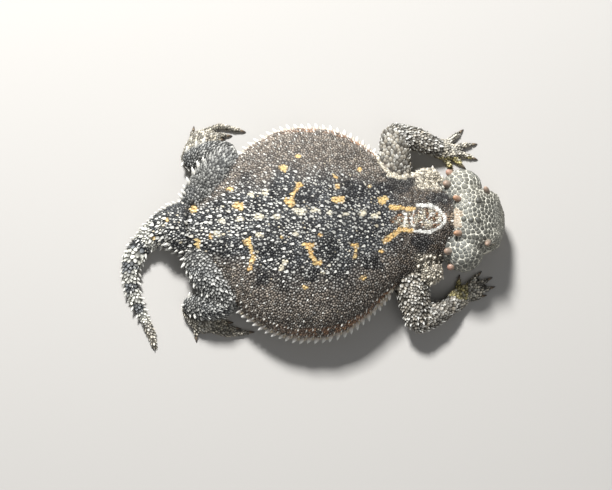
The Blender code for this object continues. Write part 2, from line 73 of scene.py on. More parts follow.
# Studio: each light's place, size and power, the light all round, and the floor.
LIGHTS = {"key": ((-140, 420, 460), 120, 8.0), "fill": ((220, -380, 560), 600, 0.9)}
SKY_COLOUR = (0.9, 0.94, 1.0, 1)
SKY_STRENGTH = 0.14
FLOOR_COLOUR = (0.50, 0.485, 0.46, 1)
FLOOR_HALF = 1500
FLOOR_ROUGHNESS = 0.9

# Skin: how far the solids grow to close their gaps, the
# mesh size, the rounds of smoothing, and how deep it lies.
WELD = 0.002
GROWTH = 0.2
GROWTH_LEFT = 0.8
SKIN_VOXEL = 0.39
SKIN_ROUNDS = 7
DIGIT_ROUNDS = 2
CORE_VOXEL = 0.8
CORE_ROUNDS = 7
BODY_DEPTH = 0.2
TAIL_DEPTH = 0.4
HEAD_DEPTH = 0.16
FINE_DEPTH = 0.08
LID_DEPTH = 0.02
FLOOR_GAP = 0.03

# The line of the tail as seen from above, and its bands: their length, their start and how much they waver.
TAIL_LINE = [(-30, 1.2), (-36, 1.0), (-40.5, -0.6), (-44.1, -4.0), (-46.0, -9.0), (-45.8, -13.5),
             (-43.9, -18.6),
             (-41.6, -23), (-40.2, -26.5), (-39.5, -29.8)]
BAND_LENGTH = 5.6
BAND_START = 0.6
BAND_WAVER = 1.8

# Edges of the trunk: how sharp a point of its solid is a spine's tip, and where its outline starts and ends.
TIP_ANGLE = 2.0
HIP_SIDE = 8.0
SHOULDER_SIDE = 14.0
NECK_REACH = 8
WAIST = 0.8

# Middle lines of the neck and the back, and how much the lie of the scales bends outward at the body's sides.
BODY_MIDDLE = 1.1
BACK_MIDDLE = 0.9
BEND_OUT = 1.2
HALF_WIDTH = 30

# Eyes: the ball, and lids with an almond opening whose corners are drawn in.
EYE_RADIUS = 2.05
LID_GAP = 0.12
LID_THICKNESS = 0.62
LID_OPENING = (0.80, 0.40)
LID_CORNER = 0.18
LID_LIP = 0.06
LID_REACH = math.radians(112)
LID_TURN = math.radians(8)
LID_LIFT = math.radians(10)
LID_RINGS = 12
LID_SIDES = 36
EYE_FORWARD = math.radians(18)
EYE_CROWDING = 1.25
IRIS_STREAKS = 6

# Ridge under the eye, folds of the lids and ridge from the eye to the nostril,
# in the eye's own axes, with how far out of the eye's middle each starts.
CHEEK_DROP = 2.35
CHEEK_WIDTH = 0.6
CHEEK_HEIGHT = 0.75
CHEEK_OUT = -1.0
LID_FOLDS = (1.55, 2.0)
LID_FOLD_SHAPE = (0.8, 1.25)
LID_FOLD_WIDTH = 0.13
LID_FOLD_DEPTH = 0.1
LID_FOLD_OUT = 0.5
CANTHUS_START = (0.6, 0.8)
CANTHUS_END = (0.3, 0.9)
CANTHUS_WIDTH = 0.7
CANTHUS_HEIGHT = 0.5

# Mouth line along the side of the head, with its row of scales, and the nostrils from the head's middle line.
MOUTH_LINE = [(36.4, 5.7), (40, 5.2), (44, 4.6), (46.8, 4.1), (48.8, 3.7), (49.7, 3.6)]
MOUTH_WIDTH = 0.24
MOUTH_DEPTH = 0.42
MOUTH_CLEAR = 0.2
MOUTH_CORNER = 39.5
MOUTH_MIDDLE = 40.5
MOUTH_TURN = math.radians(108)
MOUTH_STEPS = 400
LABIAL = 0.66
LABIAL_RISES = (0.52, -0.5)
NOSTRIL = (48.2, 1.75, 8.2)
NOSTRIL_RADIUS = 0.52
NOSTRIL_TALL = 1.3
NOSTRIL_DEPTH = 0.5
NOSTRIL_BACK = 9
NOSTRIL_CLEAR = 1.1
NOSTRIL_RIM = 1.5
NOSTRIL_RIM_WIDTH = 0.2
NOSTRIL_RIM_HEIGHT = 0.1

# Folds of the skin: noise, stretch along the body, waver, wavelength and height.
NECK_WRINKLES = ("wrinkle", 1.0, 3.0, 2.1, 0.16)
FLANK_FOLDS = ("fold", 0.6, 6.0, 4.2, 0.12)
LUMP_HEIGHT = 0.2

# Painted shade at a scale's edge against its ground, and painted shade in creases, with the rounds of smoothing
# that find them.
EDGE_SHADE = 0.2
CREASE_SHADE = 0.8
CREASE_ROUNDS = 16

# Sides of the scales, plates, horns, claws and eyes, and how deep the roots of scales and spines lie.
GRANULE_SIDES = 6
SCALE_SIDES = 8
PLATE_SIDES = 12
HORN_SIDES = 20
CLAW_SIDES = 12
EYE_SIDES = 48
SCALE_SINK = 0.1
SPINE_ROOT = 0.25

# How a scale's cell is bounded: its neighbours, and its least and largest reach as shares of half its spacing.
NEIGHBOURS = 8
PLATE_NEIGHBOURS = 12
CELL_LEAST = 0.5
CELL_MOST = 1.6
PLATE_MOST = 2.0

# The map for baked textures: the width of a scale's patch and the margin of a region's cell.
PATCH = 0.003
BAKE_MARGIN = 0.04

# Distances between scales, and whether they vary from place to place.
LIMB_SPACING = [
    (("upper_arm_left",), 0.86, False), (("upper_arm_right",), 0.62, True), (("forearm",), 0.6, True),
    (("thigh", "shank"), 0.54, True), (("hand", "foot"), 0.48, False),
]
NECK_SPACING = 0.42
PELVIS_SPACING = 0.54
BELLY_SPACING = 0.85
FACE_SPACING = 0.50
LOBE_SPACING = 1.0
LOBE_SHARE = 0.8
JAW_SPACING = 0.6
LID_SPACING = 0.34
NAPE_SPACING = 0.36
WHITE_SPACING = 0.62
CLEARANCE = 0.62
DOWNWARD = -0.35

# How many places are tried for each scale that fits.
CROWD = 8
CROWDS = {"white_places": 9, "granule_places": 6, "leg_scales": 6, "foot_scales": 6, "tail_scales": 6}

# White-tipped pointed scales of the back: their least size, what chance, the
# back's line, dark patches, nuchal marks and the neck do to it, the room
# they keep in dark patches, on the neck and in marks, and how far they turn.
WHITE_FACING = -0.1
WHITE_LEAST = 0.38
WHITE_GAIN = 0.85
WHITE_POWER = 2.4
WHITE_LINE = 0.08
WHITE_DARK = 0.55
NUCHAL_SIZE = 0.8
NECK_SMALLER = 0.35
DARK_ROOM = 1.5
NECK_ROOM = 2.6
MARKED_ROOM = 1.02
WHITE_TURN = 0.9

# Height, lean and half width of pointed scales as shares of their size, and how much their sides are drawn in.
POINTED_SHAPE = (0.5, 0.4, 0.52)
SPIKE_SHAPE = (0.75, 0.5, 0.5)
POINTED_FLAT = 0.3
SPIKED = ("thigh", "shank", "upper_arm", "forearm", "tail_mid")

# Granules: their lean, the chance above which one is pale,
# and how much rarer that is on the flanks and the neck.
GRANULE_LEAN = 0.3
SPECK_CHANCE = 0.84
SPECK_FLANK = 0.7
SPECK_NECK = 0.8
GOLD_CHANCE = 0.95

# Keeled scales: their parts, how white their tips are and their draw of colours, then their shape, their light
# and the painted shade at their edges.
KEELED_COATS = {
    "leg_scales": (("upper_arm", "forearm", "thigh", "shank"), 0.9, "leg_tones"),
    "foot_scales": (("hand", "foot"), 0.45, "foot_tones"),
    "tail_scales": (("tail_mid", "tail_tip"), 0.5, "tail_tones"),
}
KEEL_OVERLAP = 0.35
KEEL_HEIGHT = 0.45
KEEL_LEAN = 0.36
KEEL_LIGHT = 1.5
KEEL_EDGE = 0.5
KEEL_CHANCE = 0.85

# Plates of the head: their height and light, with those of the domes, the crown, the snout and the nape.
SEEN_FACING = 0.2
PLATE_LEAST = 0.07
PLATE_HEIGHT = 0.1
PLATE_TOP = 0.85
DOME_HEIGHT = 0.34
DOME_LIGHT = 0.7
CROWN_DIM = 0.4
SNOUT_LIGHT = 0.7
NAPE_FLAT = 0.6

# Noise: how far the fields of two numbers lie apart, and the numbers that scatter its values.
NOISE_SHIFT = 17.31
HASH_STEPS = (73856093, 19349663, 83492791)
HASH_FACTOR = 1274126177
HASH_MOST = 0xFFFFFF

# Named noises: the size of their lumps, and a number that sets each apart.
NOISES = {
    "coarse": (5.0, 1), "fine": (1.6, 2), "wrinkle": (4.0, 3), "fold": (6.0, 4), "band": (1.3, 5),
    "lump": (2.2, 6),
    "plate": (1.3, 8), "iris": (1.0, 9), "granule": (1.4, 12), "uneven": (1.1, 13), "clump": (3.0, 14),
    "frayed": (0.8, 15), "spike": (2.5, 16), "patch": (0.9, 17),
}

# Named draws: each number starts its own run of random values.
DRAWS = {
    "granule_places": 1, "white_places": 2, "white_sizes": 3, "granule_specks": 4, "granule_turns": 21,
    "granule_tones": 31, "white_tones": 33, "white_marks": 34, "leg_scales": 41, "leg_tones": 42,
    "foot_scales": 43,
    "foot_tones": 44, "tail_scales": 45, "tail_tones": 46, "plate_places": 51, "plate_tones": 52,
    "plate_sizes": 53,
    "fringe": 61, "thigh_spines": 71, "arm_spines": 72, "tail_spines": 73, "hip_spines": 74, "neck_spines": 75,
    "leg_spikes": 76, "spike_tones": 77,
}

# Named ranges, across which a share goes from 0 to 1.
RANGES = {
    # Height of the normal.
    "top": (-0.2, 0.35), "under": (-0.55, -0.15), "plate_under": (-0.5, 0.1), "nape_top": (0, 0.3),
    # Share of the way out to the body's edge.
    "flank": (0.36, 0.66), "rust_start": (0.915, 0.935), "rust_end": (0.975, 0.99),
    "flank_folds": (0.55, 0.85),
    "fine_edge": (0.5, 0.9), "few_specks": (0.4, 0.65), "small_whites": (0.45, 0.62),
    "few_whites": (0.42, 0.62),
    # Place along the body, from the tail to the snout.
    "pelvis": (-33, -27), "front": (-12, 4), "neck": (19, 25), "fold_front": (26.5, 29.5),
    "mouth": (38.5, 40.5),
    "crown": (38.5, 42), "crown_small": (43.8, 48.2), "snout": (45.0, 48), "nostril": (47.7, 45.7),
    # Distance to the side, height on the head, and distance along the tail.
    "fold_side": (7.5, 9.5), "back_line": (3.5, 6.5), "tail_side": (-8, -26), "tail_spine_side": (-16, -29),
    "crown_side": (5, 8.5), "lobe_side": (8.5, 10.0), "lobe_height": (7, 9), "face_height": (5.5, 9.5),
    "lip_height": (4.5, 8.0), "tail_start": (6, 11.5), "tail_end": (32, 40),
    # Distance from the eye, the middle of the brow, a digit's root, the mouth line and a crease's bottom.
    "eye": (2.9, 3.8), "lid_scales": (2.6, 3.3), "brow": (1.8, 3.2), "digit": (0.5, 1.5),
    "mouth_line": (0.1, 0.3),
    "crease": (0.03, 0.3), "nostril_pit": (0.26, 0.676), "nostril_dark": (0.52, 0.78),
    # Angle from the middle of the eye.
    "iris_glow": (0.75, 0.4), "pupil": (0.30, 0.34), "iris_end": (0.8, 0.95),
    # Noise, chance and brightness, and the edge of a mark.
    "rust_patches": (0.25, 0.5), "blue_legs": (0.4, 0.8), "nuchal_pale": (0.45, 0.57), "band": (0.26, 0.5),
    "bright_white": (0.0, 0.25), "cream_white": (0.7, 1.0), "nuchal_brown": (0.4, 0.3), "lit": (0.06, 0.22),
    "mark": (0.8, 1.2),
}

# Named values, at a share of 0 and of 1.
VALUES = {
    # Spacing, and room round the white scales.
    "granule": (0.53, 0.46), "granule_mix": (0.82, 1.18), "uneven": (0.75, 1.35), "tail": (0.72, 0.54),
    "crown": (0.80, 0.55), "crown_mix": (0.75, 1.30), "spike_apart": (0.8, 1.9),
    "room": (1.0, 1.5), "aside_room": (0.1, 0.4), "flank_room": (1.3, 2.3),
    # Colour and light.
    "flank": (0.55, 1.0), "rust": (0.15, 1.0), "cream_digits": (0.45, 0.80), "skin_shade": (0.25, 0.75),
    "white": (0.35, 1.0), "keel_light": (0.4, 1.0), "keel_tip": (0.35, 1.0), "spike_white": (0.5, 0.85),
}

# Named spreads of random values: the lowest, the highest, and a power that crowds them towards the lowest.
SPREADS = {
    "light": (0.3, 1.7, 1.6), "tip_white": (0, 0.75, 2.5), "height": (0.28, 0.44, 1),
    "marked_white": (0.7, 1.15, 1),
    "flank_white": (0.40, 0.70, 2), "spike_size": (0.5, 1.0, 1.5), "plate_size": (0.75, 1.25, 1),
    "plate_light": (0.6, 1.15, 1), "net": (0.8, 1.2, 1), "fringe_large": (0.85, 1.0, 1),
    "fringe_small": (0.7, 1.2, 1), "fringe_rows": (0.4, 0.8, 1), "neck_spines": (0.5, 1.0, 1.5),
}

# Colours, as linear red, green and blue.
CHARCOAL = (0.020, 0.021, 0.024)
BLUE_BLACK = (0.009, 0.010, 0.012)
BLUE_GREY = (0.17, 0.18, 0.185)
GREY_BROWN = (0.25, 0.208, 0.165)
NECK_BROWN = (0.108, 0.084, 0.062)
RUST = (0.42, 0.19, 0.07)
WHITE = (0.89, 0.88, 0.82)
CREAM = (0.70, 0.63, 0.49)
PALE_SPOT = (0.95, 0.87, 0.66)
YELLOW = (1.0, 0.76, 0.34)
ORANGE = (0.90, 0.53, 0.17)
RED_BROWN = (0.29, 0.16, 0.085)
PLATE_GREEN = (0.205, 0.196, 0.158)
PLATE_BLUE = (0.215, 0.222, 0.205)
PLATE_NET = (0.78, 0.76, 0.66)
NAPE_TAN = (0.50, 0.40, 0.29)
HORN_ORANGE = (0.47, 0.26, 0.15)
HORN_PINK = (0.36, 0.25, 0.185)
HORN_GREY = (0.24, 0.20, 0.16)
HORN_RED = (0.45, 0.25, 0.19)
ARM_CREAM = (0.19, 0.165, 0.125)
LEG_GREY = (0.13, 0.13, 0.122)
OLIVE = (0.55, 0.46, 0.13)
BAND_GREY = (0.085, 0.092, 0.097)
BAND_CREAM = (0.70, 0.69, 0.60)
BELLY = (0.60, 0.55, 0.44)
PALM = (0.42, 0.34, 0.24)
CLAW_DARK = (0.05, 0.035, 0.028)
CLAW_ROOT = (0.30, 0.24, 0.17)
IRIS = (0.20, 0.11, 0.035)
IRIS_GOLD = (0.50, 0.34, 0.12)
PUPIL = (0.003, 0.003, 0.003)
# Painted shade for the inside of the nostril pits.
PIT_SHADE = (0.02, 0.015, 0.012)
MOUTH_DARK = (0.07, 0.05, 0.04)

# How strongly each colour is laid over the ones under it.
STRENGTHS = {
    "rust": 0.6, "neck": 0.9, "dark": 0.85, "fold": 0.75, "blue_leg": 0.6, "olive": 0.75, "tail_tip": 0.6,
    "band": 0.9, "lip": 0.45, "belly": 0.85, "under_digits": 0.3, "palm": 0.7, "nuchal": 0.85, "yellow": 0.8,
    "spot": 0.8, "fold_mark": 0.9, "white_line": 0.95, "net": 0.8, "nape_net": 0.8, "speck": 0.5,
    "gold_speck": 0.25,
    "cream": 0.6, "pale_gold": 0.2, "keel": 0.4,
}
FACE_WHITE = 0.97
WHITE_STEADY = 0.7
TIP_LIGHT = 1.3

# How ragged the marks' edges are, coarsely and finely, and how much the flanks' and the neck's edges waver.
RAGGED = 0.9
FRAYED = (0.6, 1.1)
NUCHAL_RAGGED = 0.3
LINE_FRAYED = 0.6
FLANK_WAVER = 0.35
FOLD_WAVER = 2

# Share of the folds' cream that counts as white.
FOLD_WHITE = 0.4

# Materials: roughness, strength of the bumps, fineness of the grain,
# variation of the colour, and clear coat; then what they share.
MATERIALS = {
    "scales": (0.5, 0.3, 2600, 0.25, 0.0), "plates": (0.45, 0.5, 1800, 0.25, 0.0),
    "spines": (0.42, 0.3, 2400, 0.15, 0.0), "horns": (0.36, 0.4, 1500, 0.25, 0.0),
    "claws": (0.3, 0.3, 1500, 0.25, 0.0), "eyes": (0.12, 0.0, 900, 0.1, 1.0),
    "skin": (0.65, 0.4, 2200, 0.25, 0.0),
}
MOTTLE_DETAIL = 3.0
MOTTLE_RANGE = (0.3, 0.7)
GLOSS_RANGE = (0.1, 0.15)
SPECULAR = 0.4
BUMP_HEIGHT = 0.05

# Horns of the left side: the way each points, and its colour at the root and at the tip.
HORNS = {
    "occipital_horn": ((-0.75, 0.15, 0.65), HORN_PINK, HORN_ORANGE),
    "inner_temporal_horn": ((-0.85, 0.15, 0.5), HORN_GREY, HORN_PINK),
    "outer_temporal_horn": ((-0.8, 0.5, 0.25), HORN_PINK, HORN_RED),
    "brow_horn": ((-0.35, 0.6, 0.72), HORN_GREY, HORN_PINK),
}

# Rows of long spines: their nodes, the least height of their place, the most that it may face forward, how far
# apart they are, and their shortest and longest.
REAR_SPINES = {
    "thigh_spines": (("thigh", "shank"), 2.0, -0.3, 1.7, 1.0, 1.9),
    "hip_spines": (("tail_base",), 2.0, math.inf, 1.3, 0.8, 1.4),
    "arm_spines": (("upper_arm", "forearm"), 2.0, math.inf, 2.2, 0.5, 0.8),
    "tail_spines": (("tail_mid", "tail_tip"), 1.0, math.inf, 1.15, 0.9, 1.5),
}
SPINE_LEVEL = 0.6
REAR_POWER = 1.3
REAR_PALE = 0.35
TAIL_SPINE_FADE = 0.5

# How far spines stand off the skin and lean back, and their
# half width as a share of their length, with the least.
REAR_SHAPE = (0.95, 0.4, 0.27)
NECK_SPINE_SHAPE = (1.0, 0.6, 0.4)
SPINE_LEAST = 0.1
SPINE_LEAN = 0.22

# Where the neck's soft spines stand: beside its middle, in front, and on the marked folds.
NECK_SPINE_SIDE = 8.2
NECK_SPINE_FRONT = 27.0
NECK_SPINE_UNDER = -0.5
NECK_SPINE_APART = 1.1
NECK_SPINE_PALE = 0.4
FOLD_EDGE = 0.3
FOLD_FACING = 0.1

# Fringe: half width and flatness of its large spines, the widest gap that
# small ones fill, the small ones' lift and share of their length, and the
# rows inside it, as how far in and how high, with how their spines stand.
FRINGE_WIDTH = 0.78
FRINGE_FLAT = 0.4
FRINGE_GAP = 4
FRINGE_LENGTH = 1.6
SMALL_FRINGE = {"fringe_small": (0.0, 0.6), "fringe_upper": (0.9, 0.42)}
SMALL_FRINGE_FLAT = 0.3
SLENDER = 0.42
FRINGE_ROWS = [(2.3, 3.0), (0.6, 1.4)]
FRINGE_AHEAD = 0.9
FRINGE_AIM = (0.8, 0.5, 0.5)
FRINGE_ROW_PALE = 0.4

# Marks on the back, as places in the 612 x 490 photograph: spots are (column, row, width, height).
YELLOW_SPOTS = [
    (337.5, 200, 12, 5.5), (383, 200, 9, 7), (337.5, 186, 5, 5), (335, 177, 4, 4), (360.5, 169, 5, 4),
    (370, 186.5, 5, 4), (290, 202, 10, 8), (298, 185, 8, 4.5), (298, 156, 6, 3.5), (283, 169, 7, 6),
    (230, 189, 9, 3.5), (239, 206.5, 10, 8), (194, 210, 7, 7), (190, 198, 4, 4), (320, 235.5, 5, 4),
    (356.6, 246, 11, 5), (355, 257, 4.5, 4.5), (382, 251, 4.5, 4.5), (363.5, 278, 7, 4), (305, 287, 6.5, 5),
    (248, 242, 10, 7), (211, 236, 4.5, 4.5), (282, 237, 4, 3), (167, 220, 4, 4),
    (154, 238, 5, 4), (250, 268, 5, 6), (318.5, 263, 7, 6), (309, 245, 12, 6), (253.5, 258, 6, 6),
]
YELLOW_STREAKS = [
    ([(297, 188), (292, 197)], 3.0),
    ([(309, 247), (312, 257), (318, 263)], 3.8),
    ([(199, 241), (198, 254)], 4.2),
    ([(250, 245), (253, 257), (250, 268)], 3.2),
    ([(357, 246), (355, 257)], 2.4),
    ([(391, 207), (413, 209.5)], 4.4),
    ([(384, 242), (400, 230), (412, 230)], 4.4),
]
WHITE_SPOTS = [
    (315, 210, 9, 4), (300, 212, 15, 7), (260, 216, 9, 6), (277, 217, 7, 5), (218, 234, 8, 6),
    (259, 235, 7, 5),
    (296, 233, 7, 5), (252, 194, 6, 6), (266, 192, 6, 6), (285, 261, 5, 5), (282, 268, 5, 5), (323, 273, 5, 4),
    (330, 213, 6, 4), (345, 214, 7, 4), (362, 213, 6, 5), (376, 216, 7, 5), (240, 219, 7, 4), (222, 221, 6, 4),
]
WHITE_STREAKS = [
    ([(418, 205.5), (430, 205), (439, 209.5), (444.5, 216), (445, 222), (439, 227.5), (430, 232), (416, 231)],
    3.4),
    ([(432, 213), (440, 215), (441, 220), (433, 224), (426, 221), (432, 213)], 1.7),
    ([(403, 212), (406, 218), (404, 226)], 1.8),
    ([(414, 211), (411, 220), (414, 229)], 1.8),
]
FOLD_STREAKS = [
    ([(366, 140), (374, 150), (382, 166), (390, 174)], 3.6),
    ([(390, 175), (404, 177), (418, 172)], 5.5),
    ([(372, 316), (379, 305), (392, 291), (410, 280)], 3.2),
]
NUCHAL_PATCHES = [(432, 218.5, 34, 20), (407, 220, 30, 15)]
NAPE_PATCH = [(456, 219, 11, 22)]
DARK_PATCHES = [
    (255, 206, 20, 16), (302, 196, 26, 20), (271, 249, 18, 16), (263, 279, 16, 14), (330, 248, 22, 20),
    (352, 190, 24, 18), (372, 262, 20, 16), (399, 182, 34, 18), (421, 244, 20, 22), (440, 198, 24, 14),
    (215, 206, 16, 12), (228, 250, 14, 12), (312, 276, 18, 14), (276, 190, 16, 12),
]

# Areas of olive inner digits, as the first and last column and row, and plates
# that stand out from the head, as column, row and width in millimetres.
OLIVE_AREAS = {
    "hand_left": (0, 612, 157, 490), "forearm_left": (0, 612, 158, 490), "hand_right": (0, 468, 0, 300),
}
DOMES = [(479, 201, 1.9), (482, 236, 1.9), (464.5, 219, 1.4), (471, 219.5, 1.5), (477.5, 220, 1.5)]

# Rings of each kind of scale: share of the reach, rise, tilt, lean, the
# front's share of the tip's colour, and the mix of edge, face and tip colours.
GRANULE = [
    (1.0, 0.0, 0.0, 0.0, 0, (1, 0, 0)), (0.72, 0.75, 0.2, 0.25, 0.2, (0, 1, 0)),
    (0, 1.0, 0.0, 0.5, 0, (0, 0.5, 0.5)),
]
KEELED = [
    (1.0, 0.0, 0.0, 0.0, 0, (1, 0, 0)), (0.92, 0.4, 0.55, 0.3, 0.6, (0.5, 0.5, 0)),
    (0.5, 0.75, 0.4, 0.9, 0.9, (0, 0.85, 0.15)), (0, 1.1, 0.0, 2.2, 0, (0, 0, 1)),
]
PLATE = [
    (1.0, 0.0, 0.0, 0.0, 0, (1, 0, 0)), (0.95, 0.3, 0.0, 0.0, 0, (1, 0, 0)),
    (0.87, 0.7, 0.0, 0.0, 0, (0, 1, 0)),
    (0.62, 0.93, 0.0, 0.0, 0, (0, 1, 0)), (0, 1.0, 0.0, 0.0, 0, (0, 0.8, 0.2)),
]
SPINE = [
    (1.0, 0.0, 0.0, 0.0, 0, (1, 0, 0)), (0.9, 0.25, 0.0, 0.04, 0, (0.2, 0.7, 0.1)),
    (0.7, 0.5, 0.0, 0.2, 0, (0, 0.5, 0.5)), (0.4, 0.77, 0.0, 0.55, 0, (0, 0, 1)),
    (0, 1.0, 0.0, 1.0, 0, (0, 0, 1)),
]
HORN = [
    (1.0, 0.0, 0.0, 0.0, 0, (1, 0, 0)), (1.02, 0.3, 0.0, 0.0, 0, (1, 0, 0)),
    (0.96, 0.42, 0.0, 0.0, 0, (0.8, 0.2, 0)), (0.97, 0.52, 0.0, 0.0, 0, (0.4, 0.6, 0)),
    (0.86, 0.63, 0.0, 0.1, 0, (0.1, 0.9, 0)), (0.84, 0.7, 0.0, 0.2, 0, (0, 1, 0)),
    (0.68, 0.81, 0.0, 0.4, 0, (0, 0.6, 0.4)), (0.5, 0.9, 0.0, 0.6, 0, (0, 0.2, 0.8)),
    (0.28, 0.97, 0.0, 0.85, 0, (0, 0, 1)), (0, 1.0, 0.0, 1.0, 0, (0, 0, 1)),
]

# Horns and claws: sides, rings, how far the tip bends down, and the width as a share of the node's.
SPIKES = {"horn": (HORN_SIDES, HORN, 0.0, 0.94), "claw": (CLAW_SIDES, SPINE, 0.1, 0.85)}


def between(first, second, share):
    """Values between two, by a share for each."""
    return first * (1 - share) + second * share


def mixed(first, second, share):
    """Colours between two, by a share for each row."""
    return between(np.asarray(first, float), np.asarray(second, float), np.atleast_1d(share)[:, None])


def laid(name, ground, colour, cover=1.0):
    """The ground with a colour over it where it covers, as strongly as the name says."""
    return mixed(ground, colour, cover * STRENGTHS[name])


def ramp(low, high, values):
    """Smooth share from 0 at low to 1 at high."""
    share = np.clip((np.asarray(values, float) - low) / (high - low), 0, 1)
    return share * share * (3 - 2 * share)


def graded(name, values):
    """Smooth share from 0 to 1 across the range named."""
    return ramp(*RANGES[name], values)


def bump(values, width):
    """Height from 0 to 1 of a smooth bump where the values are near 0."""
    return np.exp(-((values / width) ** 2))


def varied(name, share):
    """Values between the two named, at a share from 0 to 1."""
    return between(*VALUES[name], share)


def started(name):
    """The run of random values that belongs to a name."""
    return np.random.default_rng(SEED + DRAWS[name])


def drawn(name, generator, count):
    """Random values of the spread named."""
    low, high, power = SPREADS[name]
    return between(low, high, generator.random(count) ** power)


def unit(vectors):
    """Vectors made one long."""
    return vectors / np.maximum(np.linalg.norm(vectors, axis=-1, keepdims=True), 1e-9)


def flattened(ways, normals):
    """Ways laid along the surfaces that the normals stand on, one long."""
    return unit(ways - np.sum(ways * normals, axis=1, keepdims=True) * normals + 1e-6)


def noise(points, name):
    """Smooth random values from 0 to 1, with lumps of the size that the name has."""
    size, seed = NOISES[name]
    places = np.asarray(points, float) / size + seed * NOISE_SHIFT
    cell = np.floor(places).astype(np.int64)
    part = places - cell
    part = part * part * (3 - 2 * part)
    total = np.zeros(len(places))
    for corner in np.ndindex(2, 2, 2):
        key = (cell + corner) @ np.array(HASH_STEPS)
        value = ((key ^ (key >> 13)) * HASH_FACTOR & HASH_MOST) / HASH_MOST
        weight = np.prod(np.where(np.array(corner) == 1, part, 1 - part), axis=1)
        total += value * weight
    return total


def photo_place(points):
    """Column and row of points in the photograph, as the camera sees them."""
    offset = points - CAMERA_PLACE
    depth = offset @ np.array([0, math.cos(ELEVATION), -math.sin(ELEVATION)])
    height = offset @ np.array([0, math.sin(ELEVATION), math.cos(ELEVATION)])
    focal = LENS / SENSOR * PHOTO_SIZE[0]
    column = PHOTO_SIZE[0] / 2 + focal * offset[:, 0] / depth
    row = PHOTO_SIZE[1] / 2 - focal * height / depth
    return np.stack([column, row], axis=1)


def line_distance(places, line):
    """Distance of places from a line of points in the plane, and how far along the line each is."""
    line = np.array(line, float)
    best = np.full(len(places), np.inf)
    along = np.zeros(len(places))
    start = 0.0
    for first, second in zip(line, line[1:]):
        step = second - first
        length = np.linalg.norm(step)
        share = np.clip((places - first) @ step / length**2, 0, 1)
        distance = np.linalg.norm(places - first - share[:, None] * step, axis=1)
        nearer = distance < best
        best = np.where(nearer, distance, best)
        along = np.where(nearer, start + share * length, along)
        start += length
    return best, along


def spot_cover(places, spots, ragged):
    """How far each photo place lies inside the spots, 1 at their middle and 0 outside, with ragged edges."""
    cover = np.zeros(len(places))
    for column, row, width, height in spots:
        away = np.hypot((places[:, 0] - column) / (width / 2), (places[:, 1] - row) / (height / 2))
        cover = np.maximum(cover, 1 - graded("mark", away + ragged))
    return cover


def streak_cover(places, streaks, ragged):
    """How far each photo place lies on the streaks."""
    cover = np.zeros(len(places))
    for line, width in streaks:
        away = line_distance(places, line)[0] / (width / 2)
        cover = np.maximum(cover, 1 - graded("mark", away + ragged))
    return cover


def centre(name):
    """Middle of a node's box."""
    low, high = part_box(name)
    return np.array((low + high) / 2) / MM


def welded(name):
    """A node's mesh, with its doubled points joined."""
    work = bmesh.new()
    work.from_mesh(NODES[name].data)
    bmesh.ops.remove_doubles(work, verts=work.verts, dist=WELD * MM)
    return work


def solid_copy(name, grow=0.0):
    """Points and faces of a node, with its surface moved out."""
    work = welded(name)
    work.normal_update()
    points = [(vertex.co + vertex.normal * grow * MM) / MM for vertex in work.verts]
    work.verts.index_update()
    faces = [[vertex.index for vertex in face.verts] for face in work.faces]
    work.free()
    return np.array(points), faces


def own_axes(points):
    """The axes along which the points spread most, longest first."""
    return np.linalg.svd(points - points.mean(axis=0), full_matrices=False)[2]


def long_axis(name, way):
    """The long axis of a node, on the side of the way given."""
    axis = own_axes(solid_copy(name)[0])[0]
    return axis * math.copysign(1, axis @ way)


def search_tree(points, faces):
    """Search tree of a surface."""
    return BVHTree.FromPolygons([Vector(point) for point in points], faces)


def point_tree(points):
    """Search tree of loose points."""
    tree = KDTree(len(points))
    for k, point in enumerate(points):
        tree.insert(point, k)
    tree.balance()
    return tree


def joined(parts):
    """One list of points and faces from several."""
    points = []
    faces = []
    start = 0
    for some, loops in parts:
        points.append(np.asarray(some))
        faces += [[index + start for index in loop] for loop in loops]
        start += len(some)
    return np.concatenate(points), faces


def ring_faces(sides, pairs):
    """Four-sided faces between each pair of rings, whose points follow ring by ring."""
    faces = []
    for low, high in pairs:
        for k in range(sides):
            after = (k + 1) % sides
            faces.append([low * sides + k, low * sides + after, high * sides + after, high * sides + k])
    return faces


def round_turns(sides):
    """Evenly spaced directions round a ring."""
    return np.arange(sides) * 2 * math.pi / sides


def remeshed(points, faces, voxel, rounds):
    """Points and faces of the even, smoothed mesh round a solid."""
    mesh = bpy.data.meshes.new("work")
    mesh.from_pydata([tuple(point) for point in points], [], faces)
    made = bpy.data.objects.new("work", mesh)
    bpy.context.scene.collection.objects.link(made)
    step = made.modifiers.new("even", "REMESH")
    step.mode = "VOXEL"
    step.voxel_size = voxel
    if rounds:
        step = made.modifiers.new("smooth", "SMOOTH")
        step.factor = 0.5
        step.iterations = rounds
    bpy.context.view_layer.update()
    graph = bpy.context.evaluated_depsgraph_get()
    result = bpy.data.meshes.new_from_object(made.evaluated_get(graph))
    points = np.zeros(len(result.vertices) * 3)
    result.vertices.foreach_get("co", points)
    faces = np.zeros(len(result.loops), int)
    result.loops.foreach_get("vertex_index", faces)
    bpy.data.objects.remove(made, do_unlink=True)
    return points.reshape(-1, 3), faces.reshape(-1, 4)


def smoothed(points, faces, rounds):
    """The points after each has moved halfway to its neighbours' middle as often as its own count says."""
    pairs = np.unique(np.sort(np.concatenate([faces[:, [k, (k + 1) % 4]] for k in range(4)]), axis=1), axis=0)
    both = np.concatenate([pairs, pairs[:, ::-1]])
    order = np.argsort(both[:, 0], kind="stable")
    first, second = both[order].T
    starts = np.searchsorted(first, np.arange(len(points)))
    counts = np.bincount(first, minlength=len(points))[:, None]
    for k in range(int(rounds.max())):
        middle = np.add.reduceat(points[second], starts, axis=0) / counts
        share = np.clip(rounds - k, 0, 1)[:, None] * 0.5
        points = points + (middle - points) * share
    return points


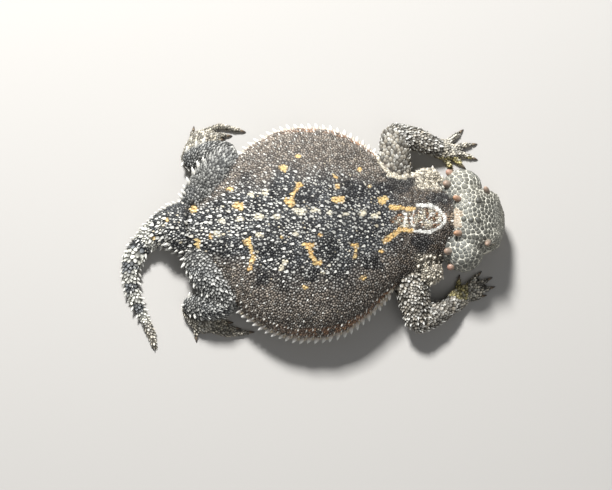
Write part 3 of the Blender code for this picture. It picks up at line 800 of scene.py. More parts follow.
def point_normals(points, faces):
    """Smooth normals of an even mesh of four-sided faces."""
    normal = np.cross(points[faces[:, 2]] - points[faces[:, 0]], points[faces[:, 3]] - points[faces[:, 1]])
    total = np.zeros_like(points)
    for corner in range(4):
        np.add.at(total, faces[:, corner], normal)
    return unit(total)


def flesh_nodes():
    """The flesh nodes, each with the node before and after it along the body, for the way its scales point."""
    flesh = {
        "head": ("head", "neck"), "lower_jaw": ("head", "neck"), "neck": ("head", "trunk"),
        "trunk": ("neck", "tail_base"), "tail_base": ("trunk", "tail_mid"),
        "tail_mid": ("tail_base", "tail_tip"),
        "tail_tip": ("tail_mid", "tail_tip"),
    }
    for limb in LIMBS:
        for side in SIDES:
            names = [f"{name}_{side}" for name in limb]
            for before, name, after in zip(["trunk", *names], names, [*names[1:], names[-1]]):
                flesh[name] = (before, after)
    return flesh


def part_of(region, *names):
    """True for the regions of the nodes named, or of all sides of a limb's part."""
    return np.isin(region, [k for k, name in enumerate(REGIONS) if name.startswith(names)])


def nearest_regions(points):
    """Number of the flesh node that each point is nearest to."""
    solids = [solid_copy(name) for name in REGIONS]
    owner = np.repeat(np.arange(len(solids)), [len(faces) for _, faces in solids])
    tree = search_tree(*joined(solids))
    return np.array([owner[tree.find_nearest(Vector(point))[2]] for point in points])


def eye_axes(side):
    """Middle of an eye, with the ways out of it, forward along its opening, and down."""
    place = centre("eye_left" if side > 0 else "eye_right")
    out = np.array([math.sin(EYE_FORWARD), side * math.cos(EYE_FORWARD), 0])
    out = unit(out * math.cos(LID_LIFT) + np.array([0, 0, math.sin(LID_LIFT)]))
    forward = unit(np.cross(out, [0, 0, 1.0]) * side)
    down = unit(np.cross(forward, out) * -side)
    turned = forward * math.cos(LID_TURN) - down * math.sin(LID_TURN)
    down = down * math.cos(LID_TURN) + forward * math.sin(LID_TURN)
    return place, out, turned, down


def near_eye(points, side, name):
    """Share from 0 to 1 of how near points are to an eye, across the range named."""
    return 1 - graded(name, np.linalg.norm(points - eye_axes(side)[0], axis=1))


def lid_shell(side):
    """Closed shell of both lids round the eye, open in an almond."""
    place, out, forward, down = eye_axes(side)
    wide, high = LID_OPENING
    inner, outer = EYE_RADIUS + LID_GAP, EYE_RADIUS + LID_GAP + LID_THICKNESS
    turns = round_turns(LID_SIDES)
    rim = wide * high / np.hypot(high * np.cos(turns), wide * np.sin(turns))
    rim *= 1 - LID_CORNER * np.abs(np.sin(2 * turns))
    spread = np.cos(turns)[:, None] * forward + np.sin(turns)[:, None] * down
    rings = []
    outside = [(k / LID_RINGS, outer) for k in range(LID_RINGS + 1)]
    for share, radius in [(0.0, inner), *outside, (1.0, inner)]:
        tilt = rim + (LID_REACH - rim) * share
        tilt += (radius - inner) / LID_THICKNESS * LID_LIP * (1 - share)
        rings.append(place + radius * (np.cos(tilt)[:, None] * out + np.sin(tilt)[:, None] * spread))
    faces = ring_faces(LID_SIDES, [(k, (k + 1) % len(rings)) for k in range(len(rings))])
    if side > 0:
        faces = [loop[::-1] for loop in faces]
    return np.concatenate(rings), faces


def flesh_surface():
    """Even mesh round all the flesh, grown to close its gaps, with the trunk's spines smoothed away."""
    trunk = remeshed(*solid_copy("trunk", GROWTH), CORE_VOXEL, CORE_ROUNDS)
    parts = [(trunk[0], trunk[1].tolist())]
    parts += [solid_copy(name, GROWTH) for name in REGIONS if name != "trunk"]
    parts += [lid_shell(side) for side in SIDES.values()]
    points, faces = remeshed(*joined(parts), SKIN_VOXEL, 0)
    region = nearest_regions(points)
    rounds = np.where(part_of(region, *SMALL), float(DIGIT_ROUNDS), float(SKIN_ROUNDS))
    return fitted_ends(smoothed(points, faces, rounds), region), faces


def fitted_ends(points, region):
    """Points with those of the hands, feet and tail's tip laid back on their solids; no digit shrinks."""
    for k, name in enumerate(REGIONS):
        if name.startswith(SMALL):
            solid, inner = [search_tree(*solid_copy(node)) for node in (name, FLESH[name][0])]
            for index in np.nonzero(region == k)[0]:
                point = Vector(points[index])
                share = float(graded("digit", inner.find_nearest(point)[3]))
                points[index] = point.lerp(solid.find_nearest(point)[0], share)
    return points


def fringe_tips():
    """Tip and root of each spine of the trunk's fringe, found as the sharpest points of its solid."""
    work = welded("trunk")
    found = []
    for vertex in work.verts:
        turn = sum(loop.calc_angle() for loop in vertex.link_loops)
        if turn < TIP_ANGLE:
            around = np.mean([edge.other_vert(vertex).co for edge in vertex.link_edges], axis=0)
            found.append((np.array(vertex.co) / MM, around / MM))
    work.free()
    return found


def trunk_edges(fringe):
    """The right and left edge of the trunk as lines of (x, y), from the roots of the fringe and its box."""
    low, high = [np.array(corner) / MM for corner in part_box("trunk")]
    roots = np.array([root for _, root in fringe])
    edges = []
    for side, corner in zip((-1, 1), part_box("neck")):
        line = roots[roots[:, 1] * side > 0][:, :2]
        line = line[np.argsort(line[:, 0])]
        waist = corner[1] / MM * WAIST
        edges.append(np.array([
            (low[0], side * HIP_SIDE), *line, (high[0], side * SHOULDER_SIDE), (high[0] + NECK_REACH, waist),
        ]))
    return edges


def edge_share(points):
    """How far out each point of the body is, from 0 on the middle line to 1 on the edge of its side."""
    right, left = [np.interp(points[:, 0], edge[:, 0], edge[:, 1]) for edge in TRUNK_EDGE]
    return np.abs(points[:, 1] - (left + right) / 2) / ((left - right) / 2)


class Surface:
    """The skin's points with what is worked out for each: normal, region, way of the scales, photo place and
    how deep in a crease it lies."""

    def __init__(self, points, faces):
        self.faces = faces
        self.points = points
        self.region = nearest_regions(points)
        self.settle()

    def settle(self):
        """Works out what depends on the points' places."""
        self.normals = point_normals(self.points, self.faces)
        self.photo = photo_place(self.points)
        self.lie = lie_of_scales(self.points, self.normals, self.region)
        eased = smoothed(self.points, self.faces, np.full(len(self.points), float(CREASE_ROUNDS)))
        self.hollow = graded("crease", np.sum((eased - self.points) * self.normals, axis=1))

    def where(self, *names):
        """True for the points of the nodes named, or of all sides of a limb's part."""
        return part_of(self.region, *names)


def lie_of_scales(points, normals, region):
    """Way that the scales point, along the skin: to the tail on the body, and to the toes on the legs."""
    lie = np.tile([-1.0, 0, 0], (len(points), 1))
    across = points[:, 1] / HALF_WIDTH
    lie[:, 1] = across * np.abs(across) * BEND_OUT
    line = np.array(TAIL_LINE, float)
    lengths = np.concatenate([[0], np.cumsum(np.linalg.norm(np.diff(line, axis=0), axis=1))])
    headings = unit(np.gradient(line, lengths, axis=0))
    along = along_tail(points)
    for k, name in enumerate(REGIONS):
        inside = region == k
        if name.startswith("tail"):
            for axis in range(2):
                lie[inside, axis] = np.interp(along[inside], lengths, headings[:, axis])
        elif name.startswith(LIMB_PARTS):
            before, after = FLESH[name]
            lie[inside] = long_axis(name, centre(after) - centre(before))
    return flattened(lie, normals)


def along_tail(points):
    """How far along the tail's line each point is."""
    return line_distance(points[:, :2], TAIL_LINE)[1]


def body_ground(points, photo, coarse, fine, ragged):
    """Charcoal and blue-grey back, grey-brown flanks, rust inside the fringe, brown neck with pale folds."""
    out, place = edge_share(points), points[:, 0]
    flank = graded("flank", out + (coarse - 0.5) * FLANK_WAVER) * graded("pelvis", place)
    rust = graded("rust_start", out) * (1 - graded("rust_end", out)) * graded("rust_patches", fine)
    fold = graded("fold_side", np.abs(points[:, 1] - BODY_MIDDLE))
    fold *= graded("fold_front", place + coarse * FOLD_WAVER)
    ground = mixed(CHARCOAL, BLUE_GREY, fine * coarse)
    ground = mixed(ground, GREY_BROWN, flank * varied("flank", fine))
    ground = laid("rust", ground, RUST, rust * varied("rust", graded("front", place)))
    ground = laid("neck", ground, NECK_BROWN, graded("neck", place))
    ground = laid("dark", ground, BLUE_BLACK, spot_cover(photo, DARK_PATCHES, ragged))
    return laid("fold", ground, CREAM, fold)


def leg_ground(region, photo, coarse, fine):
    """Cream-grey arms, blue-grey hind legs and paler digits, with olive along the first ones."""
    arm, upper, ends = [part_of(region, *names) for names in (LIMBS[0][:2], LIMBS[0][:1], ENDS)]
    ground = np.where(arm[:, None], ARM_CREAM, LEG_GREY)
    ground = laid("blue_leg", ground, BLUE_GREY, graded("blue_legs", coarse) * ~upper)
    ground[ends] = mixed(ground[ends], CREAM, varied("cream_digits", fine[ends]))
    for name, (left, right, top, bottom) in OLIVE_AREAS.items():
        inner = part_of(region, name) & (photo[:, 0] > left) & (photo[:, 0] < right)
        inner &= (photo[:, 1] > top) & (photo[:, 1] < bottom)
        ground[inner] = laid("olive", ground[inner], OLIVE)
    return ground


def tail_ground(points, ground):
    """Bands of blue-grey and cream that start where the body's colours end, and a pale tip."""
    along = along_tail(points)
    end = graded("tail_end", along)
    wave = along + (noise(points, "band") - 0.5) * BAND_WAVER
    bands = graded("band", 0.5 + 0.5 * np.sin(wave * 2 * math.pi / BAND_LENGTH + BAND_START))
    banded = laid("band", BAND_GREY, BAND_CREAM, np.maximum(bands, end * STRENGTHS["tail_tip"]))
    banded = laid("tail_tip", banded, PALM, end)
    return mixed(ground, banded, graded("tail_start", along))


def head_ground(points, coarse):
    """Grey-green in places bluer, and tan along the lips."""
    return laid("lip", mixed(PLATE_GREEN, PLATE_BLUE, coarse), NAPE_TAN, 1 - graded("lip_height", points[:, 2]))


def marking(points, normals, region, photo):
    """Ground colour of the skin and scales at each point, with the shares of white, yellow and nuchal marks."""
    coarse, fine = noise(points, "coarse"), noise(points, "fine")
    ragged = (fine - 0.5) * RAGGED
    frayed = ragged * FRAYED[0] + (noise(points, "frayed") - 0.5) * FRAYED[1]
    head, limb, tail, ends = [part_of(region, *names) for names in (HEAD_PARTS, LIMB_PARTS, ("tail",), ENDS)]
    up = graded("top", normals[:, 2])
    under = 1 - graded("under", normals[:, 2])

    ground = body_ground(points, photo, coarse, fine, ragged)
    ground[limb] = leg_ground(region[limb], photo[limb], coarse[limb], fine[limb])
    ground[tail] = tail_ground(points[tail], ground[tail])
    ground[head] = head_ground(points[head], coarse[head])
    ground = mixed(ground, NAPE_TAN, spot_cover(photo, NAPE_PATCH, frayed) * up * ~limb)
    ground = mixed(ground, BELLY, under * np.where(ends, STRENGTHS["under_digits"], STRENGTHS["belly"]))
    ground[ends] = laid("palm", ground[ends], PALM, under[ends])

    back = up * ~head * ~limb
    nuchal = spot_cover(photo, NUCHAL_PATCHES, ragged * NUCHAL_RAGGED) * back
    yellow = np.maximum(
        spot_cover(photo, YELLOW_SPOTS, frayed), streak_cover(photo, YELLOW_STREAKS, frayed)) * back
    spots = spot_cover(photo, WHITE_SPOTS, frayed) * back
    folds = streak_cover(photo, FOLD_STREAKS, frayed) * back
    lines = streak_cover(photo, WHITE_STREAKS, frayed * LINE_FRAYED) * back
    patch = mixed(RED_BROWN, CREAM, graded("nuchal_pale", noise(points, "patch")))
    ground = laid("nuchal", ground, patch, nuchal)
    ground = laid("yellow", ground, mixed(YELLOW, ORANGE, coarse), yellow)
    ground = laid("spot", ground, PALE_SPOT, spots)
    ground = laid("fold_mark", ground, CREAM, folds)
    ground = laid("white_line", ground, WHITE, lines)
    return ground, np.maximum(np.maximum(spots, lines), folds * FOLD_WHITE), yellow, nuchal


def mouth_rise(place):
    """Height of the mouth's line at places along the head."""
    return np.interp(place, *zip(*MOUTH_LINE))


def mouth_height(points):
    """How far above the mouth's line each point is."""
    return points[:, 2] - mouth_rise(points[:, 0])


def nostril_distance(points):
    """How far each point is from the nearer nostril, as seen from the front."""
    _, y, z = NOSTRIL
    away = np.hypot(np.abs(points[:, 1] - HEAD_LINE) - y, (points[:, 2] - z) * NOSTRIL_TALL)
    return away + graded("nostril", points[:, 0]) * NOSTRIL_BACK


def ridge(points, first, second, width):
    """Height from 0 to 1 of a ridge along the straight line from one place to another."""
    step = second - first
    share = np.clip((points - first) @ step / (step @ step), 0, 1)
    return bump(np.linalg.norm(points - first - share[:, None] * step, axis=1), width)


def skin_depth(skin):
    """How deep the skin lies in its solids, to leave room for its scales."""
    depth = np.where(skin.where(*HEAD_PARTS), HEAD_DEPTH, BODY_DEPTH) + GROWTH * GROWTH_LEFT
    depth = np.where(skin.where(*SMALL), FINE_DEPTH, depth)
    along = along_tail(skin.points)
    tail = skin.where("tail") * graded("tail_start", along) * (1 - graded("tail_end", along))
    depth += TAIL_DEPTH * tail
    for side in SIDES.values():
        depth = between(depth, LID_DEPTH, near_eye(skin.points, side, "eye"))
    return depth


def cheek_and_lids(skin, side):
    """Height of the ridge under an eye, of the one from it to the nostril, and of two folds in the lids."""
    place, out, forward, down = eye_axes(side)
    offset = skin.points - place
    ahead, below, outward = offset @ forward, offset @ down, offset @ out
    head = skin.where(*HEAD_PARTS)
    cheek = bump(below - CHEEK_DROP, CHEEK_WIDTH) * (1 - graded("brow", np.abs(ahead)))
    height = cheek * CHEEK_HEIGHT * (outward > CHEEK_OUT) * head
    start = place + down * CHEEK_DROP + out * CANTHUS_START[0] + forward * CANTHUS_START[1]
    x, y, z = NOSTRIL
    end = np.array([x, HEAD_LINE + side * (y + CANTHUS_END[0]), z + CANTHUS_END[1]])
    height += ridge(skin.points, start, end, CANTHUS_WIDTH) * CANTHUS_HEIGHT * head
    around = np.hypot(ahead * LID_FOLD_SHAPE[0], below * LID_FOLD_SHAPE[1])
    for fold in LID_FOLDS:
        height -= bump(around - fold, LID_FOLD_WIDTH) * LID_FOLD_DEPTH * (outward > LID_FOLD_OUT)
    return height


def mouth_and_nostrils(skin):
    """Height of the mouth's groove and of the nostrils with their rims."""
    groove = bump(mouth_height(skin.points), MOUTH_WIDTH) * skin.where(*HEAD_PARTS)
    away = nostril_distance(skin.points)
    pit = (1 - graded("nostril_pit", away)) * NOSTRIL_DEPTH
    rim = bump(away - NOSTRIL_RADIUS * NOSTRIL_RIM, NOSTRIL_RIM_WIDTH) * NOSTRIL_RIM_HEIGHT
    return rim - pit - groove * graded("mouth", skin.points[:, 0]) * MOUTH_DEPTH


def folded(points, name, stretch, waver, length, height):
    """Height of wavering folds across the body."""
    wave = points[:, 0] * stretch + noise(points, name) * waver
    return np.sin(wave * 2 * math.pi / length) * height


def sculpted(skin):
    """Sinks the skin under its scales and adds its lids, brows, mouth, nostrils, folds and lumps."""
    points = skin.points
    neck, trunk = skin.where("neck"), skin.where("trunk")
    move = mouth_and_nostrils(skin) - skin_depth(skin)
    for side in SIDES.values():
        move += cheek_and_lids(skin, side)
    move += folded(points, *NECK_WRINKLES) * neck
    move += folded(points, *FLANK_FOLDS) * trunk * graded("flank_folds", edge_share(points))
    move += (noise(points, "lump") - 0.5) * LUMP_HEIGHT * (trunk | neck)
    skin.points = points + skin.normals * move[:, None]
    skin.points[:, 2] = np.maximum(skin.points[:, 2], FLOOR_GAP)
    skin.settle()


def scale_spacing(skin):
    """Distance between fine scales at each point of the skin."""
    points, facing = skin.points, skin.normals[:, 2]
    uneven = varied("uneven", noise(points, "uneven"))
    spacing = varied("granule", graded("fine_edge", edge_share(points)))
    spacing = spacing * varied("granule_mix", noise(points, "granule"))
    spacing = between(spacing, NECK_SPACING, graded("neck", points[:, 0]))
    tail = varied("tail", graded("tail_side", points[:, 1])) * uneven
    spacing = np.where(skin.where("tail"), tail, spacing)
    for names, apart, varies in LIMB_SPACING:
        spacing = np.where(skin.where(*names), apart * uneven if varies else apart, spacing)
    belly = (facing < DOWNWARD) & skin.where(*BODY_PARTS)
    spacing = np.where(belly, BELLY_SPACING, spacing)
    spacing = np.where(skin.where("head"), crown_spacing(points), spacing)
    spacing = np.where(skin.where("lower_jaw"), JAW_SPACING, spacing)
    for side in SIDES.values():
        near = near_eye(points, side, "lid_scales") * skin.where(*HEAD_PARTS)
        spacing = between(spacing, LID_SPACING, near)
    nape = spot_cover(skin.photo, NAPE_PATCH, 0) * graded("nape_top", facing)
    return between(spacing, NAPE_SPACING, nape * skin.where("head"))


def crown_spacing(points):
    """Distance between the head's plates: largest on the lobes, smaller on the snout and the face."""
    height = points[:, 2]
    lobe = graded("lobe_side", np.abs(points[:, 1] - HEAD_LINE)) * graded("lobe_height", height)
    spacing = varied("crown", graded("crown_small", points[:, 0]))
    spacing = between(spacing, FACE_SPACING, 1 - graded("face_height", height))
    spacing = between(spacing, LOBE_SPACING, lobe * LOBE_SHARE)
    return spacing * varied("crown_mix", noise(points, "plate"))


def bake_places(skin):
    """A place on an unwrap of the skin for each point: every region is a rolled-out strip in its own cell."""
    places = np.zeros((len(skin.points), 2))
    columns = math.ceil(math.sqrt(len(REGIONS)))
    rows = math.ceil(len(REGIONS) / columns)
    for k in range(len(REGIONS)):
        inside = skin.region == k
        if not inside.any():
            continue
        points = skin.points[inside]
        local = (points - points.mean(axis=0)) @ own_axes(points).T
        turn = np.arctan2(local[:, 2], local[:, 1]) / (2 * math.pi) + 0.5
        length = (local[:, 0] - local[:, 0].min()) / np.ptp(local[:, 0])
        strip = BAKE_MARGIN + (1 - 2 * BAKE_MARGIN) * np.stack([length, turn], axis=1)
        places[inside] = (np.array([k % columns, k // columns]) + strip) / [columns, rows]
    return places


def scattered(skin, spacing, allowed, name):
    """Random places on the skin's faces with what their corners say, closer where spacing is small."""
    generator = started(name)
    triangles = np.concatenate([skin.faces[:, [0, 1, 2]], skin.faces[:, [0, 2, 3]]])
    corners = skin.points[triangles]
    area = np.linalg.norm(np.cross(corners[:, 1] - corners[:, 0], corners[:, 2] - corners[:, 0]), axis=1) / 2
    weight = area / spacing[triangles].mean(axis=1) ** 2 * allowed[triangles].all(axis=1)
    reach = np.cumsum(weight)
    count = int(reach[-1] * CROWDS.get(name, CROWD))
    chosen = np.searchsorted(reach, generator.random(count) * reach[-1])
    shares = generator.random((count, 2))
    shares = np.where(shares.sum(axis=1, keepdims=True) > 1, 1 - shares, shares)
    shares = np.concatenate([1 - shares.sum(axis=1, keepdims=True), shares], axis=1)
    loops = triangles[chosen]
    return {
        "point": np.einsum("nk,nkd->nd", shares, skin.points[loops]),
        "normal": unit(np.einsum("nk,nkd->nd", shares, skin.normals[loops])),
        "lie": unit(np.einsum("nk,nkd->nd", shares, skin.lie[loops])),
        "spacing": np.einsum("nk,nk->n", shares, spacing[loops]),
        "hollow": np.einsum("nk,nk->n", shares, skin.hollow[loops]),
        "region": skin.region[loops[:, 0]],
        "bake": skin.bake[loops[:, 0]],
    }


def skin_rows(skin, index, point, spacing):
    """Rows for points with their spacing that take the rest from the skin's points of the numbers given."""
    return {
        "point": point, "spacing": spacing, "normal": skin.normals[index], "lie": skin.lie[index],
        "hollow": skin.hollow[index], "region": skin.region[index], "bake": skin.bake[index],
    }


def on_photo(skin, places, names):
    """Rows for the top places of the skin of the nodes named that the photograph shows at the places given."""
    seen = np.nonzero(skin.where(*names) & (skin.normals[:, 2] > SEEN_FACING))[0]
    places = np.array(places)
    found = seen[np.linalg.norm(skin.photo[seen][:, None] - places[None, :, :2], axis=2).argmin(axis=0)]
    return skin_rows(skin, found, skin.points[found], places[:, 2])


def nearest_on_skin(tree, skin, points, spacing=1.0):
    """Rows for the places on the skin nearest to the points."""
    found = [tree.find_nearest(Vector(point)) for point in points]
    corner = skin.faces[[index for _, _, index, _ in found], 0]
    places = np.array([tuple(place) for place, *_ in found])
    return skin_rows(skin, corner, places, np.full(len(points), spacing))


def picked(rows, chosen):
    """The chosen rows of every list."""
    return {name: values[chosen] for name, values in rows.items()}


def stacked(first, second):
    """Two sets of rows as one."""
    return {name: np.concatenate([first[name], second[name]]) for name in first}


def spread_out(rows, taken=None):
    """Rows left when each keeps the others at its own spacing and leaves the room of those taken already."""
    tree = point_tree(rows["point"])
    alive = np.ones(len(rows["point"]), bool)
    if taken is not None:
        for point, reach in zip(taken["point"], taken["spacing"] * CLEARANCE):
            for _, index, _ in tree.find_range(point, reach):
                alive[index] = False
    kept = []
    for k, (point, spacing) in enumerate(zip(rows["point"], rows["spacing"])):
        if alive[k]:
            kept.append(k)
            for _, index, _ in tree.find_range(point, spacing):
                alive[index] = False
    return picked(rows, np.array(kept))


def own_turns(rows, sides, name=None):
    """Directions of the corners round each scale, turned by chance where a draw is named."""
    turns = np.tile(round_turns(sides), (len(rows["point"]), 1))
    if name:
        turns = turns + started(name).random((len(turns), 1)) * 2 * math.pi
    return turns


def cell_reach(rows, turns, near, most=CELL_MOST):
    """Distance from each scale's middle to the border it shares with its neighbours, in each direction."""
    points, size = rows["point"], rows["spacing"] / 2
    tree = point_tree(points)
    others = np.array([[index for _, index, _ in tree.find_n(point, near + 1)] for point in points])[:, 1:]
    across = np.cross(rows["normal"], rows["lie"])
    offset = points[others] - points[:, None]
    flat = np.stack([np.einsum("nkd,nd->nk", offset, way) for way in (rows["lie"], across)], axis=2)
    square = (flat**2).sum(axis=2) + size[:, None] ** 2 - size[others] ** 2
    facing = np.stack([np.cos(turns), np.sin(turns)], axis=-1)
    ahead = np.einsum("nkc,njc->nkj", flat, facing)
    border = np.where(ahead > 1e-6, square[:, :, None] / 2 / np.maximum(ahead, 1e-6), np.inf)
    return np.clip(border.min(axis=1), CELL_LEAST * size[:, None], most * size[:, None])


def narrow_reach(width, turns, flat):
    """Reach of narrow scales of the width given, drawn in at their sides."""
    return width[:, None] * (1 - flat * np.sin(turns) ** 2)


def scale_mesh(name, rows, reach, turns, profile, material, sink=SCALE_SINK, smooth=True):
    """One mesh of all the rows' scales, each of the profile's rings of points and a point at its top."""
    count, sides = reach.shape
    across = np.cross(rows["normal"], rows["lie"])
    outward = np.cos(turns)[:, :, None] * rows["lie"][:, None] + np.sin(turns)[:, :, None] * across[:, None]
    rings = []
    tones = []
    patches = []
    for share, rise, tilt, lean, front, mix in profile:
        lift = rise * rows["height"] - sink * (1 - rise) * rows["spacing"]
        middle = rows["point"] + rows["normal"] * lift[:, None] + rows["lie"] * (lean * rows["lean"])[:, None]
        tone = (rows["edge"] * mix[0] + rows["face"] * mix[1] + rows["tip"] * mix[2])[:, None]
        ring = middle[:, None]
        spread = np.zeros((count, 1, 2))
        if share:
            slope = (tilt * rows["height"])[:, None] * np.cos(turns)
            ring = ring + slope[:, :, None] * rows["normal"][:, None] + outward * (reach * share)[:, :, None]
            spread = np.stack([np.cos(turns), np.sin(turns)], axis=-1) * PATCH / 2 * share
            tone = between(tone, rows["tip"][:, None], (front * np.maximum(np.cos(turns), 0))[:, :, None])
        rings.append(ring)
        tones.append(tone)
        patches.append(rows["bake"][:, None] + spread)
    points = np.concatenate(rings, axis=1)
    each = points.shape[1]
    faces = ring_faces(sides, [(k, k + 1) for k in range(len(profile) - 2)])
    last = (len(profile) - 2) * sides
    faces += [[last + k, last + (k + 1) % sides, each - 1] for k in range(sides)]
    loops = np.arange(count)[:, None] * each + np.concatenate(faces)
    sizes = np.tile([len(face) for face in faces], count)
    tones = np.concatenate(tones, axis=1).reshape(-1, 3)
    patches = np.concatenate(patches, axis=1).reshape(-1, 2)
    return coat_object(name, points.reshape(-1, 3), loops.ravel(), sizes, tones, patches, material, smooth)


def coat_object(name, points, loops, sizes, tones, patches, material, smooth=True):
    """A mesh object from flat arrays, kept above the floor, with its colours and its bake map."""
    points[:, 2] = np.maximum(points[:, 2], 0)
    mesh = bpy.data.meshes.new(name)
    mesh.vertices.add(len(points))
    mesh.vertices.foreach_set("co", (points * MM).astype(np.float32).ravel())
    mesh.loops.add(len(loops))
    mesh.loops.foreach_set("vertex_index", loops.astype(np.int32))
    mesh.polygons.add(len(sizes))
    mesh.polygons.foreach_set("loop_start", np.concatenate([[0], np.cumsum(sizes)[:-1]]).astype(np.int32))
    mesh.update(calc_edges=True)
    colours = np.concatenate([tones, np.ones((len(tones), 1))], axis=1)
    layer = mesh.color_attributes.new("Tone", "FLOAT_COLOR", "POINT")
    layer.data.foreach_set("color", colours.astype(np.float32).ravel())
    if patches is not None:
        layer = mesh.uv_layers.new(name="OFBake")
        layer.data.foreach_set("uv", np.clip(patches[loops], 0, 1).astype(np.float32).ravel())
    mesh.materials.append(material)
    if smooth:
        mesh.shade_smooth()
    else:
        mesh.shade_flat()
    mesh.validate()
    made = bpy.data.objects.new(name, mesh)
    bpy.context.scene.collection.objects.link(made)
    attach(made, BODY)
    return made


def toned_material(name, roughness, bumps, grain, variation, coat):
    """A material that takes its colour from the mesh, with fine mottling, uneven gloss and a grain of bumps."""
    material = bpy.data.materials.new(name)
    material.use_nodes = True
    tree = material.node_tree
    surface = tree.nodes["Principled BSDF"]
    tone = tree.nodes.new("ShaderNodeVertexColor")
    tone.layer_name = "Tone"
    place = tree.nodes.new("ShaderNodeTexCoord")
    mottle = tree.nodes.new("ShaderNodeTexNoise")
    spread = tree.nodes.new("ShaderNodeMapRange")
    product = tree.nodes.new("ShaderNodeVectorMath")
    product.operation = "SCALE"
    gloss = tree.nodes.new("ShaderNodeMapRange")
    relief = tree.nodes.new("ShaderNodeBump")
    values = [
        (mottle, "Scale", grain), (mottle, "Detail", MOTTLE_DETAIL),
        (spread, "From Min", MOTTLE_RANGE[0]), (spread, "From Max", MOTTLE_RANGE[1]),
        (spread, "To Min", 1 - variation), (spread, "To Max", 1 + variation),
        (gloss, "To Min", roughness - GLOSS_RANGE[0]), (gloss, "To Max", roughness + GLOSS_RANGE[1]),
        (surface, "Specular IOR Level", SPECULAR), (surface, "Coat Weight", coat),
        (relief, "Strength", bumps), (relief, "Distance", BUMP_HEIGHT * MM),
    ]
    for node, socket, value in values:
        node.inputs[socket].default_value = value
    links = [
        (place, "Object", mottle, "Vector"), (mottle, "Fac", spread, "Value"), (tone, "Color", product, 0),
        (spread, "Result", product, "Scale"), (product, "Vector", surface, "Base Color"),
        (mottle, "Fac", gloss, "Value"), (gloss, "Result", surface, "Roughness"),
        (mottle, "Fac", relief, "Height"), (relief, "Normal", surface, "Normal"),
    ]
    for first, output, second, socket in links:
        tree.links.new(first.outputs[output], second.inputs[socket])
    return material


def add_skin(skin, material):
    """The one skin, darker than its scales, in place of the flesh nodes."""
    ground, white, yellow, _ = marking(skin.points, skin.normals, skin.region, skin.photo)
    head = skin.where(*HEAD_PARTS)
    mouth = 1 - graded("mouth_line", np.abs(mouth_height(skin.points)))
    mouth = mouth * graded("mouth", skin.points[:, 0]) * head
    # Painted shade: off the head the skin between the scales is darkened, less so under white and yellow marks.
    tone = ground * np.where(head, 1.0, varied("skin_shade", np.maximum(white, yellow)))[:, None]
    tone[head] = laid("net", tone[head], PLATE_NET)
    # Painted shade inside the nostril pits.
    tone = mixed(tone, PIT_SHADE, 1 - graded("nostril_dark", nostril_distance(skin.points)))
    # Dark mouth line, then painted shade that darkens the skin in its creases.
    tone = mixed(tone, MOUTH_DARK, mouth) * (1 - CREASE_SHADE * skin.hollow)[:, None]
    corners = np.full(len(skin.faces), 4)
    made = coat_object("skin", skin.points, skin.faces.ravel(), corners, tone, None, material)
    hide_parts(*REGIONS)


def coat_rows(rows, name):
    """Adds colours and heights to scattered scales, by the part of the body that each is on."""
    generator = started(name)
    count = len(rows["point"])
    photo = photo_place(rows["point"])
    ground, *marks = marking(rows["point"], rows["normal"], rows["region"], photo)
    rows["white"], rows["yellow"], rows["nuchal"] = marks
    # Painted shade that darkens scales lying in creases.
    ground = ground * (1 - CREASE_SHADE * rows["hollow"])[:, None]
    marked = np.maximum(rows["yellow"], rows["white"] * WHITE_STEADY)
    rows["face"] = ground * between(drawn("light", generator, count), 1.0, marked)[:, None]
    # Painted shade at each scale's edge, where it meets its neighbours.
    rows["edge"] = ground * EDGE_SHADE
    rows["tip"] = mixed(ground * TIP_LIGHT, WHITE, drawn("tip_white", generator, count))
    rows["height"] = rows["spacing"] * drawn("height", generator, count)
    rows["lean"] = rows["spacing"] * GRANULE_LEAN
    return rows


def white_scale_rows(skin):
    """Places and sizes of the white-tipped pointed scales, closest and largest along the middle of the back."""
    generator = started("white_sizes")
    body = skin.where(*BODY_PARTS) & (skin.normals[:, 2] > WHITE_FACING)
    rows = scattered(skin, np.full(len(skin.points), WHITE_SPACING), body, "white_places")
    point, count = rows["point"], len(rows["point"])
    marked = coat_rows(dict(rows), "white_marks")
    strong = np.maximum(np.maximum(marked["white"], marked["yellow"]), marked["nuchal"] * NUCHAL_SIZE)
    out = edge_share(point)
    line = 1 - graded("back_line", np.abs(point[:, 1] - BACK_MIDDLE))
    front = graded("neck", point[:, 0])
    clump = noise(point, "clump")
    dark = spot_cover(photo_place(point), DARK_PATCHES, 0) * (1 - strong)
    gain = WHITE_GAIN - WHITE_DARK * dark
    size = WHITE_LEAST + gain * generator.random(count) ** WHITE_POWER + WHITE_LINE * line
    size = between(size, drawn("marked_white", generator, count), strong)
    size = between(size, drawn("flank_white", generator, count), graded("small_whites", out))
    size = size * (1 - NECK_SMALLER * front * (1 - strong))
    room = varied("room", clump) + (varied("aside_room", clump) + DARK_ROOM * dark) * (1 - line)
    room += varied("flank_room", clump) * graded("few_whites", out) + NECK_ROOM * front
    rows["size"] = size
    rows["random"] = generator.random(count)
    rows["spacing"] = size * between(room, MARKED_ROOM, strong)
    rows = spread_out(rows)
    rows["spacing"] = rows.pop("size")
    turn = (generator.random(len(rows["point"])) - 0.5) * WHITE_TURN
    across = np.cross(rows["normal"], rows["lie"])
    rows["lie"] = rows["lie"] * np.cos(turn)[:, None] + across * np.sin(turn)[:, None]
    return rows


def add_pointed(name, rows, shape, material):
    """Narrow pointed scales, whose height, lean and half width are the shape's shares of their size."""
    height, lean, width = shape
    rows["height"], rows["lean"] = rows["spacing"] * height, rows["spacing"] * lean
    turns = own_turns(rows, SCALE_SIDES)
    reach = narrow_reach(rows["spacing"] * width, turns, POINTED_FLAT)
    scale_mesh(name, rows, reach, turns, KEELED, material, smooth=False)


